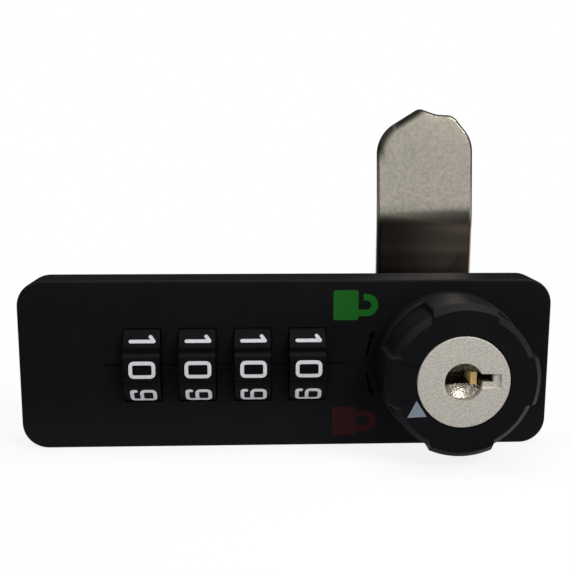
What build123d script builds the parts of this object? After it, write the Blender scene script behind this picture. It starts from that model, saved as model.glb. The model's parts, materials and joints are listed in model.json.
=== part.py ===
"""Four-dial combination cam lock for a drawer, with a knob and a key override.

Frame: origin on the knob's axis at the mounting plane, the rear face of the front case.
+X to the right along the case, +Y into the drawer front, +Z up. Millimetres.
"""
from build123d import *
from math import cos, radians, sin, sqrt
import os

# Front case: a die-cast shell with a window for each dial
case_length = 116.0
case_height = 37.3
case_depth = 9.2
case_corner_radius = 5.6
case_edge_round = 0.5
case_wall = 2.0
case_end_block = 11.4
knob_to_case_end = 22.66

# Dials
dial_count = 4
dial_pitch_share = 0.102845
dial_radius_share = 0.28954
dial_land = 4.13
dial_axis_below_face = 7.3
last_dial_share = 0.266638
dial_rim = 2.4
dial_web = 2.4
dial_hub_radius = 5.2
dial_edge_chamfer = 0.3
digits = 10
grip_notch_width = 2.2
grip_notch_depth = 0.55
window_side_gap = 0.2
window_end_gap = 0.25
window_corner_radius = 0.5

# Reading groove across the windows
index_groove_width = 3.0
index_groove_depth = 0.35
index_groove_offset = -0.2
index_groove_left = 5.0
index_groove_right = 5.2

# Printed padlocks beside the knob
print_depth = 0.25
icon_body_width = 5.45
icon_body_height = 6.6
icon_body_left = 25.3
icon_centre_to_edge = 5.55
icon_shackle_reach = 4.3
icon_shackle_height = 4.9
icon_shackle_bar = 1.45
icon_open_gap = 1.1
icon_body_round = 0.5

# Code sleeves, shaft and gates
shaft_radius = 1.5
running_clearance = 0.05
sleeve_wall = 1.65
sleeve_key_height = 0.6
sleeve_key_width = 0.8
code_disc_radius = 4.95
code_disc_thickness = 0.8
code_disc_gap = 1.35
sleeve_end_gap = 0.08

# Locking bar
fin_thickness = 0.8
fin_width = 2.0
fin_side_gap = 0.25
fin_root_width = 3.4
fin_root_sink = 0.2
gate_clearance = 0.3
fin_tip_to_shaft_axis = 3.6
bar_dial_gap = 1.8
bar_floor_thickness = 1.4
bar_depth = 4.1
bar_plate_gap = 0.3
rail_gap = 0.2
bar_arm_thickness = 1.3
bar_arm_width = 3.6
bar_arm_reach = 12.4
nose_half_height = 1.2
nose_gap = 0.15

# Bar return spring
bar_spring_length = 7.9
bar_spring_radius = 1.25
bar_spring_wire = 0.5
bar_spring_turns = 6
bar_stub_radius = 0.8
bar_stub_length = 3.0

# Rear housing and barrel
plate_thickness = 2.0
plate_fit_gap = 0.1
bulge_wall = 1.8
bulge_dial_gap = 0.5
bulge_round = 1.6
cheek_thickness = 2.0
cheek_half_height = 4.0
cheek_reach = 4.1
cheek_dial_gap = 0.4
boss_width = 25.0
boss_depth = 6.7
boss_corner = 2.5
barrel_radius = 9.5
barrel_length = 17.7
journal_radius = 6.0

# Fixing: two threaded inserts in the case ends
insert_to_case_end = 7.0
insert_radius = 2.8
insert_length = 6.5
insert_thread_radius = 1.65

# Screws that hold the housing in the case
housing_screw_radius = 1.25
housing_screw_head_radius = 2.3
housing_screw_head_height = 1.2
housing_screw_length = 6.2
screw_boss_radius = 2.6
screw_inset_x = 3.4
screw_inset_z = 3.2
screw_boss_gap = 0.4
screw_slot_width = 0.5
screw_slot_depth = 0.6
screw_slot_share = 0.6
screw_fit_gap = 0.03
screw_head_sink = 0.05

# Detent comb over the dials
comb_thickness = 0.4
comb_strip_height = 2.9
comb_strip_land = 1.4
comb_finger_width = 3.0
comb_nib_radius = 0.5
comb_nib_angle = 20.0
comb_nib_gap = 0.1
comb_end_margin = 3.0
comb_screw_radius = 1.0
comb_screw_head_radius = 1.7

# Knob
knob_height = 15.16
knob_gap = 0.3
knob_lobe_radius = 16.2
knob_waist_radius = 15.25
knob_flange_height = 4.6
knob_edge_chamfer = 1.3
knob_step_round = 0.5
upright_lobe_width = 13.3
side_lobe_width = 10.1
lobe_root_round = 1.0
lobe_tip_round = 0.4
side_step_angle = 19.3
side_step_depth = 0.22
neck_radius = 9.0
clip_groove_radius = 8.3
clip_thickness = 0.7
clip_radius = 10.3
clip_gap = 0.1
neck_shoulder = 0.5
clip_opening = 70.0
clip_opening_side = 90.0

# Pointer on the knob's face
pointer_angle = 212.6
pointer_side = 4.0
pointer_tip_radius = 13.6

# Key cylinder
cylinder_face_radius = 9.65
cylinder_face_thickness = 2.15
cylinder_body_radius = 7.05
cylinder_seat_gap = 0.05
cylinder_body_length = 9.7
cylinder_edge_chamfer = 0.25
plug_radius = 3.55
plug_recess = 1.4
plug_lug_radius = 5.4
plug_lug_thickness = 1.5
plug_lug_gap = 0.1
key_step_reach = 7.45
key_step_top = 1.75
key_step_bottom = 1.2
key_step_depth = 0.5
key_slot_reach = 5.9
key_slot_width = 1.65
key_slot_depth = 8.0
key_slot_back = 1.0
wafer_count = 4
wafer_thickness = 0.7
wafer_pitch = 1.6
wafer_left = 1.3
wafer_width = 1.3
wafer_half_height = 1.9
wafer_first_depth = 0.8
keyway_overrun = 1.0
keyway_wall = 0.4
keyway_floor = 0.95
plug_dish_radius = 5.6
plug_dish_depth = 1.15

# Spindle with its spiral collar
knob_turn = 90.0
nose_side = 180.0
bar_stroke = 2.1
collar_radius = 8.4
collar_overrun = 15.0
collar_thickness = 1.8
collar_screw_circle = 6.4
collar_screw_radius = 1.25
collar_screw_head_radius = 1.8
collar_screw_head_height = 1.2
collar_screw_length = 3.0
spindle_neck_radius = 4.4
spindle_neck_length = 2.6
square_size = 7.0
square_fit = 0.05

# Stop washer, cam and its screw
stop_washer_radius = 8.8
stop_washer_thickness = 1.1
stop_washer_gap = 0.1
stop_tab_angle = 24.0
stop_tab_depth = 1.8
stop_tab_inner = 6.7
stop_pocket_depth = 2.0
stop_pocket_margin = 1.0
stop_tab_rest = 135.0
cam_width = 23.6
cam_thickness = 2.4
cam_reach = 56.1
cam_peak_left = 1.4
cam_peak_round = 1.6
cam_saddle_right = 2.8
cam_saddle_drop = 1.45
cam_saddle_round = 6.0
cam_crown_right = 7.0
cam_crown_drop = 1.6
cam_crown_round = 3.5
cam_left_shoulder_drop = 6.4
cam_left_shoulder_round = 8.8
cam_right_shoulder_drop = 7.6
cam_right_shoulder_round = 8.0
cam_edge_round = 0.8
cam_bend_height = 30.6
cam_lean = 8.5
cam_washer_radius = 5.6
cam_washer_thickness = 1.0
cam_screw_radius = 2.45
cam_screw_length = 9.0
cam_screw_flats = 9.0
cam_screw_head = 3.6
cam_screw_crown = 9.63
cam_screw_tip_gap = 1.0
cam_washer_bore_gap = 0.4

# Places worked out from the sizes above
dial_pitch = case_length * dial_pitch_share
dial_width = dial_pitch - dial_land
dial_radius = case_height * dial_radius_share
knob_to_last_dial = case_length * last_dial_share
icon_centre_height = case_height / 2 - icon_centre_to_edge
insert_spacing = case_length - 2 * insert_to_case_end
face_y = -case_depth
inner_face_y = face_y + case_wall
plate_front_y = -plate_thickness
case_middle_x = knob_to_case_end - case_length / 2
cavity_length = case_length - 2 * case_end_block
cavity_height = case_height - 2 * case_wall
cavity_corner_radius = case_corner_radius - case_wall
cavity_left = case_middle_x - cavity_length / 2
cavity_right = case_middle_x + cavity_length / 2
dial_y = face_y + dial_axis_below_face
dial_xs = [-knob_to_last_dial - dial_pitch * i for i in reversed(range(dial_count))]
first_dial_x = dial_xs[0]
last_dial_x = dial_xs[-1]
window_width = dial_width + 2 * window_side_gap
relief_radius = dial_radius + window_end_gap
window_height = 2 * sqrt(relief_radius**2 - dial_axis_below_face**2)
sleeve_bore = shaft_radius + running_clearance
sleeve_radius = sleeve_bore + sleeve_wall
disc_start = dial_width / 2 + code_disc_gap
disc_end = disc_start + code_disc_thickness
fin_start = disc_end + fin_side_gap
fin_end = fin_start + fin_thickness
bar_floor_level = dial_radius + bar_dial_gap + bar_floor_thickness
bar_back_y = plate_front_y - bar_plate_gap
bar_front_y = bar_back_y - bar_depth
bar_floor_top = -bar_floor_level + bar_floor_thickness
bar_left = first_dial_x + fin_start - fin_root_width / 2
bar_arm_right = -bar_arm_reach
bar_arm_left = bar_arm_right - bar_arm_width
spring_z = -bar_floor_level + bar_floor_thickness / 2
spring_y = (bar_front_y + bar_back_y) / 2
spring_left = bar_left - bar_spring_length
bulge_left = first_dial_x - dial_width / 2 - cheek_dial_gap
bulge_right = last_dial_x + fin_end + cheek_dial_gap + bar_plate_gap + cheek_dial_gap
bulge_back_y = dial_y + dial_radius + bulge_dial_gap
bulge_half_height = dial_radius + bulge_dial_gap
comb_strip_base = bulge_half_height + comb_strip_land
knob_back_y = face_y - knob_gap
knob_face_y = knob_back_y - knob_height
clip_front_y = inner_face_y + clip_gap
clip_back_y = clip_front_y + clip_thickness
neck_back_y = clip_back_y + neck_shoulder
collar_back_y = neck_back_y + collar_thickness
shell_back_y = knob_face_y + cylinder_face_thickness + cylinder_body_length
plug_front_y = knob_face_y + plug_recess
lug_back_y = shell_back_y + plug_lug_gap + plug_lug_thickness
journal_start_y = collar_back_y + spindle_neck_length
washer_front_y = barrel_length + stop_washer_gap
cam_front_y = washer_front_y + stop_washer_thickness
cam_back_y = cam_front_y + cam_thickness
cam_washer_back_y = cam_back_y + cam_washer_thickness
square_end_y = cam_back_y - 2 * stop_washer_gap
spiral_rise = bar_stroke / radians(knob_turn)


def along_y(profile, y_from, y_to):
    """Extrudes a profile drawn in X and Z from one depth to another."""
    plane = Plane(origin=(0, y_to, 0), x_dir=(1, 0, 0), z_dir=(0, -1, 0))
    return extrude(plane * profile, amount=y_to - y_from)


def along_x(profile, x_from, x_to):
    """Extrudes a profile drawn in Y and Z from one x to another."""
    plane = Plane(origin=(x_from, 0, 0), x_dir=(0, 1, 0), z_dir=(1, 0, 0))
    return extrude(plane * profile, amount=x_to - x_from)


def rod_y(radius, y_from, y_to, x=0, z=0):
    return along_y(Pos(x, z) * Circle(radius), y_from, y_to)


def rod_x(radius, x_from, x_to, y=0, z=0):
    return along_x(Pos(y, z) * Circle(radius), x_from, x_to)


def block(x_range, y_range, z_range):
    """A box between two values on each axis."""
    size = [b - a for a, b in (x_range, y_range, z_range)]
    middle = [(a + b) / 2 for a, b in (x_range, y_range, z_range)]
    return Pos(*middle) * Box(*size)


def on_circle(radius, degrees):
    return (radius * cos(radians(degrees)), radius * sin(radians(degrees)))


def polygon(*points):
    """A flat face with these corners, in the order given."""
    return make_face(Polyline(*points, close=True))


def wedge(radius, start, end):
    """A pie slice from the axis, wide enough to reach past the radius."""
    middle = (start + end) / 2
    reach = radius / cos(radians((end - start) / 4)) * 1.05
    return polygon((0, 0), on_circle(reach, start), on_circle(reach, middle), on_circle(reach, end))


def cone_y(radius_front, radius_back, y_front, y_back, x, z):
    """A cone on an axis along Y, for countersunk heads."""
    profile = polygon((0, y_front), (radius_front, y_front), (radius_back, y_back), (0, y_back))
    return Pos(x, 0, z) * revolve(profile, Axis.Y)


def insert_xs():
    return [case_middle_x - insert_spacing / 2, case_middle_x + insert_spacing / 2]


def housing_screw_places():
    """Four corners of the cavity; the upper right one stays left of the boss."""
    high = cavity_height / 2 - screw_inset_z
    left = cavity_left + screw_inset_x
    upper_right = -boss_width / 2 - screw_boss_radius - screw_boss_gap
    lower_right = cavity_right - screw_inset_x
    return [(left, high), (left, -high), (upper_right, high), (lower_right, -high)]


def padlock_icon(centre_z, open_shackle):
    """A padlock lying on its side, its shackle towards the knob."""
    right = -icon_body_left + icon_body_width
    body_middle = right - icon_body_width / 2
    body = RectangleRounded(icon_body_width, icon_body_height, icon_body_round)
    body = Pos(body_middle, centre_z) * body
    outer = SlotCenterToCenter(2 * icon_shackle_reach - icon_shackle_height, icon_shackle_height)
    hole_height = icon_shackle_height - 2 * icon_shackle_bar
    inner = SlotCenterToCenter(2 * icon_shackle_reach - icon_shackle_height, hole_height)
    shackle = Pos(right, centre_z) * (outer - inner)
    shackle -= Pos(body_middle, centre_z) * Rectangle(icon_body_width, case_height / 2)
    if open_shackle:
        gap_middle = centre_z + icon_shackle_height / 2
        shackle -= Pos(right, gap_middle) * Rectangle(2 * icon_open_gap, 2 * icon_shackle_bar)
    return body + shackle


def front_case():
    shape = along_y(
        Pos(case_middle_x, 0) * RectangleRounded(case_length, case_height, case_corner_radius), face_y, 0
    )
    shape = fillet(shape.edges().group_by(Axis.Y)[0], case_edge_round)
    cavity = RectangleRounded(cavity_length, cavity_height, cavity_corner_radius)
    shape -= along_y(Pos(case_middle_x, 0) * cavity, inner_face_y, 0)
    for x in dial_xs:
        window = RectangleRounded(window_width, window_height, window_corner_radius)
        shape -= along_y(Pos(x, 0) * window, face_y, inner_face_y)
        shape -= rod_x(relief_radius, x - window_width / 2, x + window_width / 2, dial_y)
    shape -= rod_y(neck_radius + running_clearance, face_y, inner_face_y)
    groove_left = first_dial_x - window_width / 2 - index_groove_left
    groove_right = last_dial_x + window_width / 2 + index_groove_right
    groove = SlotOverall(groove_right - groove_left, index_groove_width)
    groove_middle = (groove_left + groove_right) / 2
    shape -= along_y(Pos(groove_middle, index_groove_offset) * groove, face_y, face_y + index_groove_depth)
    for centre_z, is_open in ((icon_centre_height, True), (-icon_centre_height, False)):
        shape -= along_y(padlock_icon(centre_z, is_open), face_y, face_y + print_depth)
    for x in insert_xs():
        shape -= rod_y(insert_radius, -insert_length, 0, x)
    for x, z in housing_screw_places():
        boss = rod_y(screw_boss_radius, inner_face_y, plate_front_y, x, z)
        shape += boss
        shape -= rod_y(housing_screw_radius, -housing_screw_length - screw_boss_gap, plate_front_y, x, z)
    for x in (bulge_left - cheek_thickness / 2, bulge_right + cheek_thickness / 2):
        keeper_top = dial_y - shaft_radius - running_clearance
        half_width = cheek_thickness / 2 - 2 * running_clearance
        half_height = shaft_radius - 2 * running_clearance
        shape += block(
            (x - half_width, x + half_width), (inner_face_y, keeper_top), (-half_height, half_height)
        )
    return shape


def icon_print(centre_z, open_shackle):
    return along_y(padlock_icon(centre_z, open_shackle), face_y, face_y + print_depth)


def mount_inserts():
    """Brass sleeves moulded into the case ends, each with a knurl of flats."""
    inserts = []
    for x in insert_xs():
        sleeve = rod_y(insert_radius, -insert_length, 0, x)
        sleeve -= rod_y(insert_thread_radius, -insert_length, 0, x)
        inserts.append(sleeve)
    return Compound(children=inserts)


def cross_slot(x, z, y_face, reach):
    """A cross recess in a screw head, cut from the side that faces +Y."""
    arm = Rectangle(2 * reach, screw_slot_width) + Rectangle(screw_slot_width, 2 * reach)
    return along_y(Pos(x, z) * arm, y_face - screw_slot_depth, y_face)


def housing_screws():
    screws = []
    for x, z in housing_screw_places():
        radius = housing_screw_radius - screw_fit_gap
        head_front = -housing_screw_head_height
        shank = rod_y(radius, -housing_screw_length, head_front, x, z)
        head = cone_y(radius, housing_screw_head_radius, head_front, -screw_head_sink, x, z)
        slot = cross_slot(x, z, -screw_head_sink, housing_screw_head_radius * screw_slot_share)
        screws.append(shank + head - slot)
    return Compound(children=screws)


def stop_pocket():
    """The arc cut into the barrel's end, in which the stop tab travels."""
    end = stop_tab_rest + stop_tab_angle / 2 + stop_pocket_margin
    start = stop_tab_rest - knob_turn - stop_tab_angle / 2 - stop_pocket_margin
    sector = wedge(barrel_radius, start, end)
    return along_y(sector, barrel_length - stop_pocket_depth, barrel_length)


def rear_housing():
    plate_length = cavity_length - 2 * plate_fit_gap
    plate_height = cavity_height - 2 * plate_fit_gap
    plate = RectangleRounded(plate_length, plate_height, cavity_corner_radius - plate_fit_gap)
    shape = along_y(Pos(case_middle_x, 0) * plate, plate_front_y, 0)
    bulge_middle = (bulge_left + bulge_right) / 2
    inner_length = bulge_right - bulge_left
    outer_length = inner_length + 2 * cheek_thickness
    outer_height = 2 * (bulge_half_height + bulge_wall)
    bulge = along_y(
        Pos(bulge_middle, 0) * RectangleRounded(outer_length, outer_height, 2 * bulge_round),
        0,
        bulge_back_y + bulge_wall,
    )
    bulge = fillet(bulge.edges().group_by(Axis.Y)[-1], bulge_round)
    shape += bulge
    cheeks_y = (plate_front_y - cheek_reach, plate_front_y)
    for x in (bulge_left - cheek_thickness, bulge_right):
        shape += block((x, x + cheek_thickness), cheeks_y, (-cheek_half_height, cheek_half_height))
    hollow = Rectangle(inner_length, 2 * bulge_half_height)
    shape -= along_y(Pos(bulge_middle, 0) * hollow, plate_front_y, bulge_back_y)
    slot_half = shaft_radius + running_clearance
    for x in (bulge_left - cheek_thickness, bulge_right):
        shape -= rod_x(slot_half, x, x + cheek_thickness, dial_y)
        shape -= block((x, x + cheek_thickness), (cheeks_y[0], dial_y), (-slot_half, slot_half))
    half = boss_width / 2
    top = case_height / 2
    boss = Circle(half) + Pos(0, top / 2) * Rectangle(boss_width, top)
    boss = along_y(boss, 0, boss_depth)
    corners = boss.edges().filter_by(Axis.Y).group_by(Axis.Z)[-1]
    boss = fillet(corners, boss_corner)
    shape += boss
    shape += rod_y(barrel_radius, 0, barrel_length)
    shape -= rod_y(journal_radius + running_clearance, plate_front_y, barrel_length)
    shape -= stop_pocket()
    rail_top = -bar_floor_level - rail_gap
    rail_bottom = -cavity_height / 2 + 2 * plate_fit_gap
    rail_x = (bar_left + bar_stub_length, bar_arm_left)
    shape += block(rail_x, (bar_front_y, plate_front_y), (rail_bottom, rail_top))
    lug_back = spring_left - running_clearance
    lug_z = (spring_z - bar_spring_radius - bar_spring_wire, spring_z + bar_spring_radius + bar_spring_wire)
    shape += block((lug_back - cheek_thickness, lug_back), (bar_front_y, plate_front_y), lug_z)
    for x, z in housing_screw_places():
        shape -= rod_y(housing_screw_radius + running_clearance, plate_front_y, 0, x, z)
        shape -= cone_y(
            housing_screw_radius + running_clearance,
            housing_screw_head_radius + 2 * running_clearance,
            -housing_screw_head_height,
            0,
            x,
            z,
        )
    for x in comb_screw_xs():
        shape -= rod_y(comb_screw_radius, plate_front_y, 0, x, comb_middle_z())
    return shape


def comb_middle_z():
    return comb_strip_base + comb_strip_height / 2


def comb_screw_xs():
    return [(dial_xs[0] + dial_xs[1]) / 2, (dial_xs[-2] + dial_xs[-1]) / 2]


def detent_comb():
    """A spring strip on the plate with one bent finger resting on each dial's rim."""
    left = first_dial_x - comb_end_margin
    right = last_dial_x + comb_end_margin
    strip_front = plate_front_y - comb_thickness
    top = comb_strip_base + comb_strip_height
    shape = block((left, right), (strip_front, plate_front_y), (comb_strip_base, top))
    nib_reach = dial_radius + comb_nib_gap + comb_nib_radius
    nib_y = dial_y - nib_reach * sin(radians(comb_nib_angle))
    nib_z = nib_reach * cos(radians(comb_nib_angle))
    finger = polygon(
        (plate_front_y, comb_strip_base + comb_thickness),
        (plate_front_y, comb_strip_base - comb_thickness / 2),
        (nib_y, nib_z),
        (nib_y, nib_z + comb_nib_radius),
        (strip_front, comb_strip_base + comb_thickness / 4),
        (strip_front, comb_strip_base + comb_thickness),
    )
    finger += Pos(nib_y, nib_z) * Circle(comb_nib_radius)
    for x in dial_xs:
        shape += along_x(finger, x - comb_finger_width / 2, x + comb_finger_width / 2)
    for x in comb_screw_xs():
        shape -= rod_y(comb_screw_radius, strip_front, plate_front_y, x, comb_middle_z())
    return shape


def comb_screws():
    screws = []
    strip_front = plate_front_y - comb_thickness
    head_height = comb_screw_radius
    for x in comb_screw_xs():
        z = comb_middle_z()
        shank = rod_y(comb_screw_radius - screw_fit_gap, strip_front, -bar_plate_gap, x, z)
        head = rod_y(comb_screw_head_radius, strip_front - head_height, strip_front, x, z)
        slot_x = (x - 2 * head_height, x + 2 * head_height)
        slot_z = (z - screw_slot_width / 2, z + screw_slot_width / 2)
        slot = block(slot_x, (strip_front - head_height, strip_front - head_height / 2), slot_z)
        screws.append(shank + head - slot)
    return Compound(children=screws)


def dial_wheel(x):
    """A ring on a web and a hub, with a grip notch between each two digits."""
    half = dial_width / 2
    web = dial_web / 2
    rim = dial_radius - dial_rim
    bore = sleeve_radius + running_clearance
    edge = dial_edge_chamfer
    profile = polygon(
        (-half, bore),
        (-half, dial_hub_radius),
        (-web, dial_hub_radius),
        (-web, rim),
        (-half, rim),
        (-half, dial_radius - edge),
        (-half + edge, dial_radius),
        (half - edge, dial_radius),
        (half, dial_radius - edge),
        (half, rim),
        (web, rim),
        (web, dial_hub_radius),
        (half, dial_hub_radius),
        (half, bore),
    )
    shape = revolve(profile, Axis.X)
    mouth = dial_radius + grip_notch_depth
    spread = grip_notch_width * (mouth - dial_radius + grip_notch_depth) / grip_notch_depth / 2
    notch = polygon((-mouth, -spread), (-dial_radius + grip_notch_depth, 0), (-mouth, spread))
    slot_depth = sleeve_key_height + running_clearance
    key_slot = Pos(-bore, 0) * Rectangle(2 * slot_depth, sleeve_key_width + 2 * running_clearance)
    for i in range(digits):
        angle = 360 / digits * i
        shape -= along_x(Rot(0, 0, angle + 180 / digits) * notch, -half, half)
        shape -= along_x(Rot(0, 0, angle) * key_slot, -half, half)
    return Pos(x, dial_y, 0) * shape


def code_sleeve(x):
    """The sleeve that a dial turns, with its gated code disc beside the dial."""
    left = -dial_width / 2
    right = dial_pitch - dial_width / 2 - sleeve_end_gap
    profile = polygon(
        (left, sleeve_bore),
        (left, sleeve_radius),
        (disc_start, sleeve_radius),
        (disc_start, code_disc_radius),
        (disc_end, code_disc_radius),
        (disc_end, sleeve_radius),
        (right, sleeve_radius),
        (right, sleeve_bore),
    )
    shape = revolve(profile, Axis.X)
    key_top = sleeve_radius + sleeve_key_height
    key_root = -sleeve_radius + sleeve_key_height / 2
    key_z = (-sleeve_key_width / 2, sleeve_key_width / 2)
    shape += block((left, dial_width / 2), (-key_top, key_root), key_z)
    gate_back = bar_back_y + gate_clearance - dial_y
    gate_front = bar_back_y - fin_width - gate_clearance - dial_y
    gate_top = -fin_tip_to_shaft_axis + gate_clearance
    gate_bottom = -code_disc_radius - gate_clearance
    shape -= block((disc_start, disc_end), (gate_front, gate_back), (gate_bottom, gate_top))
    return Pos(x, dial_y, 0) * shape


def dial_shaft():
    left = bulge_left - cheek_thickness + running_clearance
    right = bulge_right + cheek_thickness - running_clearance
    return rod_x(shaft_radius, left, right, dial_y)


def locking_bar():
    """A stamped bar: a fin for each code disc, and an arm whose nose follows the spiral collar."""
    floor_z = (-bar_floor_level, bar_floor_top)
    shape = block((bar_left, bar_arm_right), (bar_front_y, bar_back_y), floor_z)
    fin_front = bar_back_y - fin_width
    fin = polygon(
        (bar_back_y - fin_root_width, bar_floor_top - fin_root_sink),
        (bar_back_y, bar_floor_top - fin_root_sink),
        (bar_back_y, -fin_tip_to_shaft_axis),
        (fin_front, -fin_tip_to_shaft_axis),
        (fin_front, -code_disc_radius),
        (bar_back_y - fin_root_width, bar_floor_top + fin_root_width / 2),
    )
    for x in dial_xs:
        shape += along_x(fin, x + fin_start, x + fin_end)
    nose_x = -collar_radius - nose_gap - nose_half_height
    arm = polygon(
        (bar_arm_left, -bar_floor_level),
        (bar_arm_right, -bar_floor_level),
        (bar_arm_right, -nose_half_height),
        (nose_x, -nose_half_height),
        (nose_x, nose_half_height),
        (bar_arm_left, nose_half_height),
    )
    arm += Pos(nose_x, 0) * Circle(nose_half_height)
    arm_front = neck_back_y + bar_plate_gap
    shape += along_y(arm, arm_front, arm_front + bar_arm_thickness)
    shape += rod_x(bar_stub_radius, bar_left - bar_stub_length, bar_left, spring_y, spring_z)
    return shape


def bar_spring():
    """A compression spring between the plate's lug and the bar."""
    wire = bar_spring_wire / 2
    start = spring_left + wire + running_clearance
    length = bar_spring_length - 2 * wire - 3 * running_clearance
    path = Helix(pitch=length / bar_spring_turns, height=length, radius=bar_spring_radius)
    section = Plane(origin=path @ 0, z_dir=path % 0) * Circle(wire)
    coil = sweep(section, path=path)
    return Pos(start, spring_y, spring_z) * Rot(0, 90, 0) * coil


def turned_body(radius, y_front, y_back, edge):
    """A round body on the axis with its front edge chamfered."""
    body = rod_y(radius, y_front, y_back)
    return chamfer(body.edges().group_by(Axis.Y)[0], edge)


def lobe_bars():
    """The lobes seen from the front: the round ends of two crossed bars."""
    bars = Rectangle(upright_lobe_width, 3 * knob_lobe_radius)
    bars += Rectangle(3 * knob_lobe_radius, side_lobe_width)
    outline = bars & Circle(knob_lobe_radius)
    tips = outline.vertices().sort_by(lambda corner: Vector(corner.X, corner.Y).length)[-8:]
    return fillet(tips, lobe_tip_round)


def grip_outline():
    """The lobes on the round waist, with a rounded corner at each lobe's root."""
    outline = lobe_bars() + Circle(knob_waist_radius)
    roots = outline.vertices().sort_by(lambda corner: Vector(corner.X, corner.Y).length)[:8]
    return fillet(roots, lobe_root_round)


def knob_grip(y_front, y_back):
    """Four lobes round a narrower waist, chamfered in front."""
    grip = turned_body(knob_waist_radius, y_front, y_back, knob_edge_chamfer)
    grip += along_y(grip_outline(), y_front + knob_edge_chamfer, y_back)
    envelope = turned_body(knob_lobe_radius, y_front, y_back, knob_edge_chamfer)
    return grip + (along_y(lobe_bars(), y_front, y_back) & envelope)


def pointer_mark_outline():
    """An equal-sided triangle whose tip points away from the axis."""
    depth = pointer_side * sqrt(3) / 2
    base = pointer_tip_radius - depth
    triangle = polygon((base, -pointer_side / 2), (pointer_tip_radius, 0), (base, pointer_side / 2))
    return Rot(0, 0, pointer_angle) * triangle


def knob():
    flange_front_y = knob_back_y - knob_flange_height
    grip = knob_grip(knob_face_y, flange_front_y)
    for angle in (0, 180):
        side = wedge(knob_lobe_radius, angle - side_step_angle, angle + side_step_angle)
        grip -= along_y(side, knob_face_y, knob_face_y + side_step_depth)
    shape = grip + turned_body(knob_lobe_radius, flange_front_y, knob_back_y, knob_step_round)
    shape += rod_y(neck_radius, knob_back_y, neck_back_y)
    shape -= along_y(Circle(neck_radius) - Circle(clip_groove_radius), clip_front_y, clip_back_y)
    seat_back_y = knob_face_y + cylinder_face_thickness
    shape -= rod_y(cylinder_face_radius + cylinder_seat_gap, knob_face_y, seat_back_y)
    shape -= rod_y(cylinder_body_radius + cylinder_seat_gap, knob_face_y, lug_back_y + plug_lug_gap)
    for x in (-collar_screw_circle, collar_screw_circle):
        shape -= rod_y(collar_screw_radius, neck_back_y - collar_screw_length, neck_back_y, x)
    shape -= along_y(pointer_mark_outline(), knob_face_y, knob_face_y + print_depth)
    return shape


def pointer_mark():
    return along_y(pointer_mark_outline(), knob_face_y, knob_face_y + print_depth)


def knob_clip():
    """A spring ring in the neck's groove, open on one side."""
    ring = Circle(clip_radius) - Circle(clip_groove_radius)
    ring -= wedge(clip_radius, clip_opening_side - clip_opening / 2, clip_opening_side + clip_opening / 2)
    return along_y(ring, clip_front_y, clip_back_y - running_clearance)


def key_slot_box(reach, y_front, y_back):
    return block((-key_slot_back, reach), (y_front, y_back), (0, key_slot_width))


def cylinder_shell():
    """The key cylinder's body, with the shallow step and the slot for the key beside its bore."""
    face_back_y = knob_face_y + cylinder_face_thickness
    shape = turned_body(cylinder_face_radius, knob_face_y, face_back_y, cylinder_edge_chamfer)
    shape += rod_y(cylinder_body_radius, face_back_y, shell_back_y)
    shape -= rod_y(plug_radius + running_clearance, knob_face_y, shell_back_y)
    shape -= block(
        (0, key_step_reach), (knob_face_y, knob_face_y + key_step_depth), (-key_step_bottom, key_step_top)
    )
    shape -= key_slot_box(key_slot_reach, knob_face_y, knob_face_y + key_slot_depth)
    return shape


def wafer_places():
    """Depth of the front of each wafer."""
    return [plug_front_y + wafer_first_depth + wafer_pitch * i for i in range(wafer_count)]


def wafer_plate(y, gap):
    x_range = (wafer_left - gap, wafer_left + wafer_width + gap)
    z_range = (-wafer_half_height - gap, wafer_half_height + gap)
    return block(x_range, (y - gap, y + wafer_thickness + gap), z_range)


def key_plug():
    """The turning plug: a dished face, a keyway, a slot for each wafer and a driving lug behind."""
    shape = rod_y(plug_radius, plug_front_y, shell_back_y + plug_lug_gap)
    upper_half = Pos(0, plug_lug_radius) * Rectangle(2.2 * plug_lug_radius, 2 * plug_lug_radius)
    lug = Circle(plug_lug_radius) - upper_half + Circle(plug_radius)
    shape += along_y(lug, shell_back_y + plug_lug_gap, lug_back_y)
    keyway_back_y = plug_front_y + key_slot_depth - plug_recess
    keyway_x = (-plug_radius + keyway_wall, plug_radius + keyway_overrun)
    shape -= block(keyway_x, (plug_front_y, keyway_back_y), (-keyway_floor, key_slot_width))
    shape -= Pos(0, plug_front_y + plug_dish_depth - plug_dish_radius, 0) * Sphere(plug_dish_radius)
    for y in wafer_places():
        shape -= wafer_plate(y, running_clearance)
    return shape


def plug_wafers():
    return Compound(children=[wafer_plate(y, 0) for y in wafer_places()])


def spiral_collar():
    """A collar whose radius grows steadily with the angle, so that the bar moves in step with the knob."""
    start = nose_side - collar_overrun
    end = nose_side + knob_turn + collar_overrun

    def spiral_point(degrees):
        return on_circle(collar_radius + spiral_rise * radians(degrees - nose_side), degrees)

    steps = 8
    points = [spiral_point(start + (end - start) * i / steps) for i in range(steps + 1)]
    base_radius = collar_radius - spiral_rise * radians(collar_overrun)
    foot = on_circle(base_radius, end)
    far_side = on_circle(base_radius, (start + end) / 2 - nose_side)
    edges = Spline(*points) + Line(points[-1], foot) + ThreePointArc(foot, far_side, points[0])
    return make_face(edges)


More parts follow.
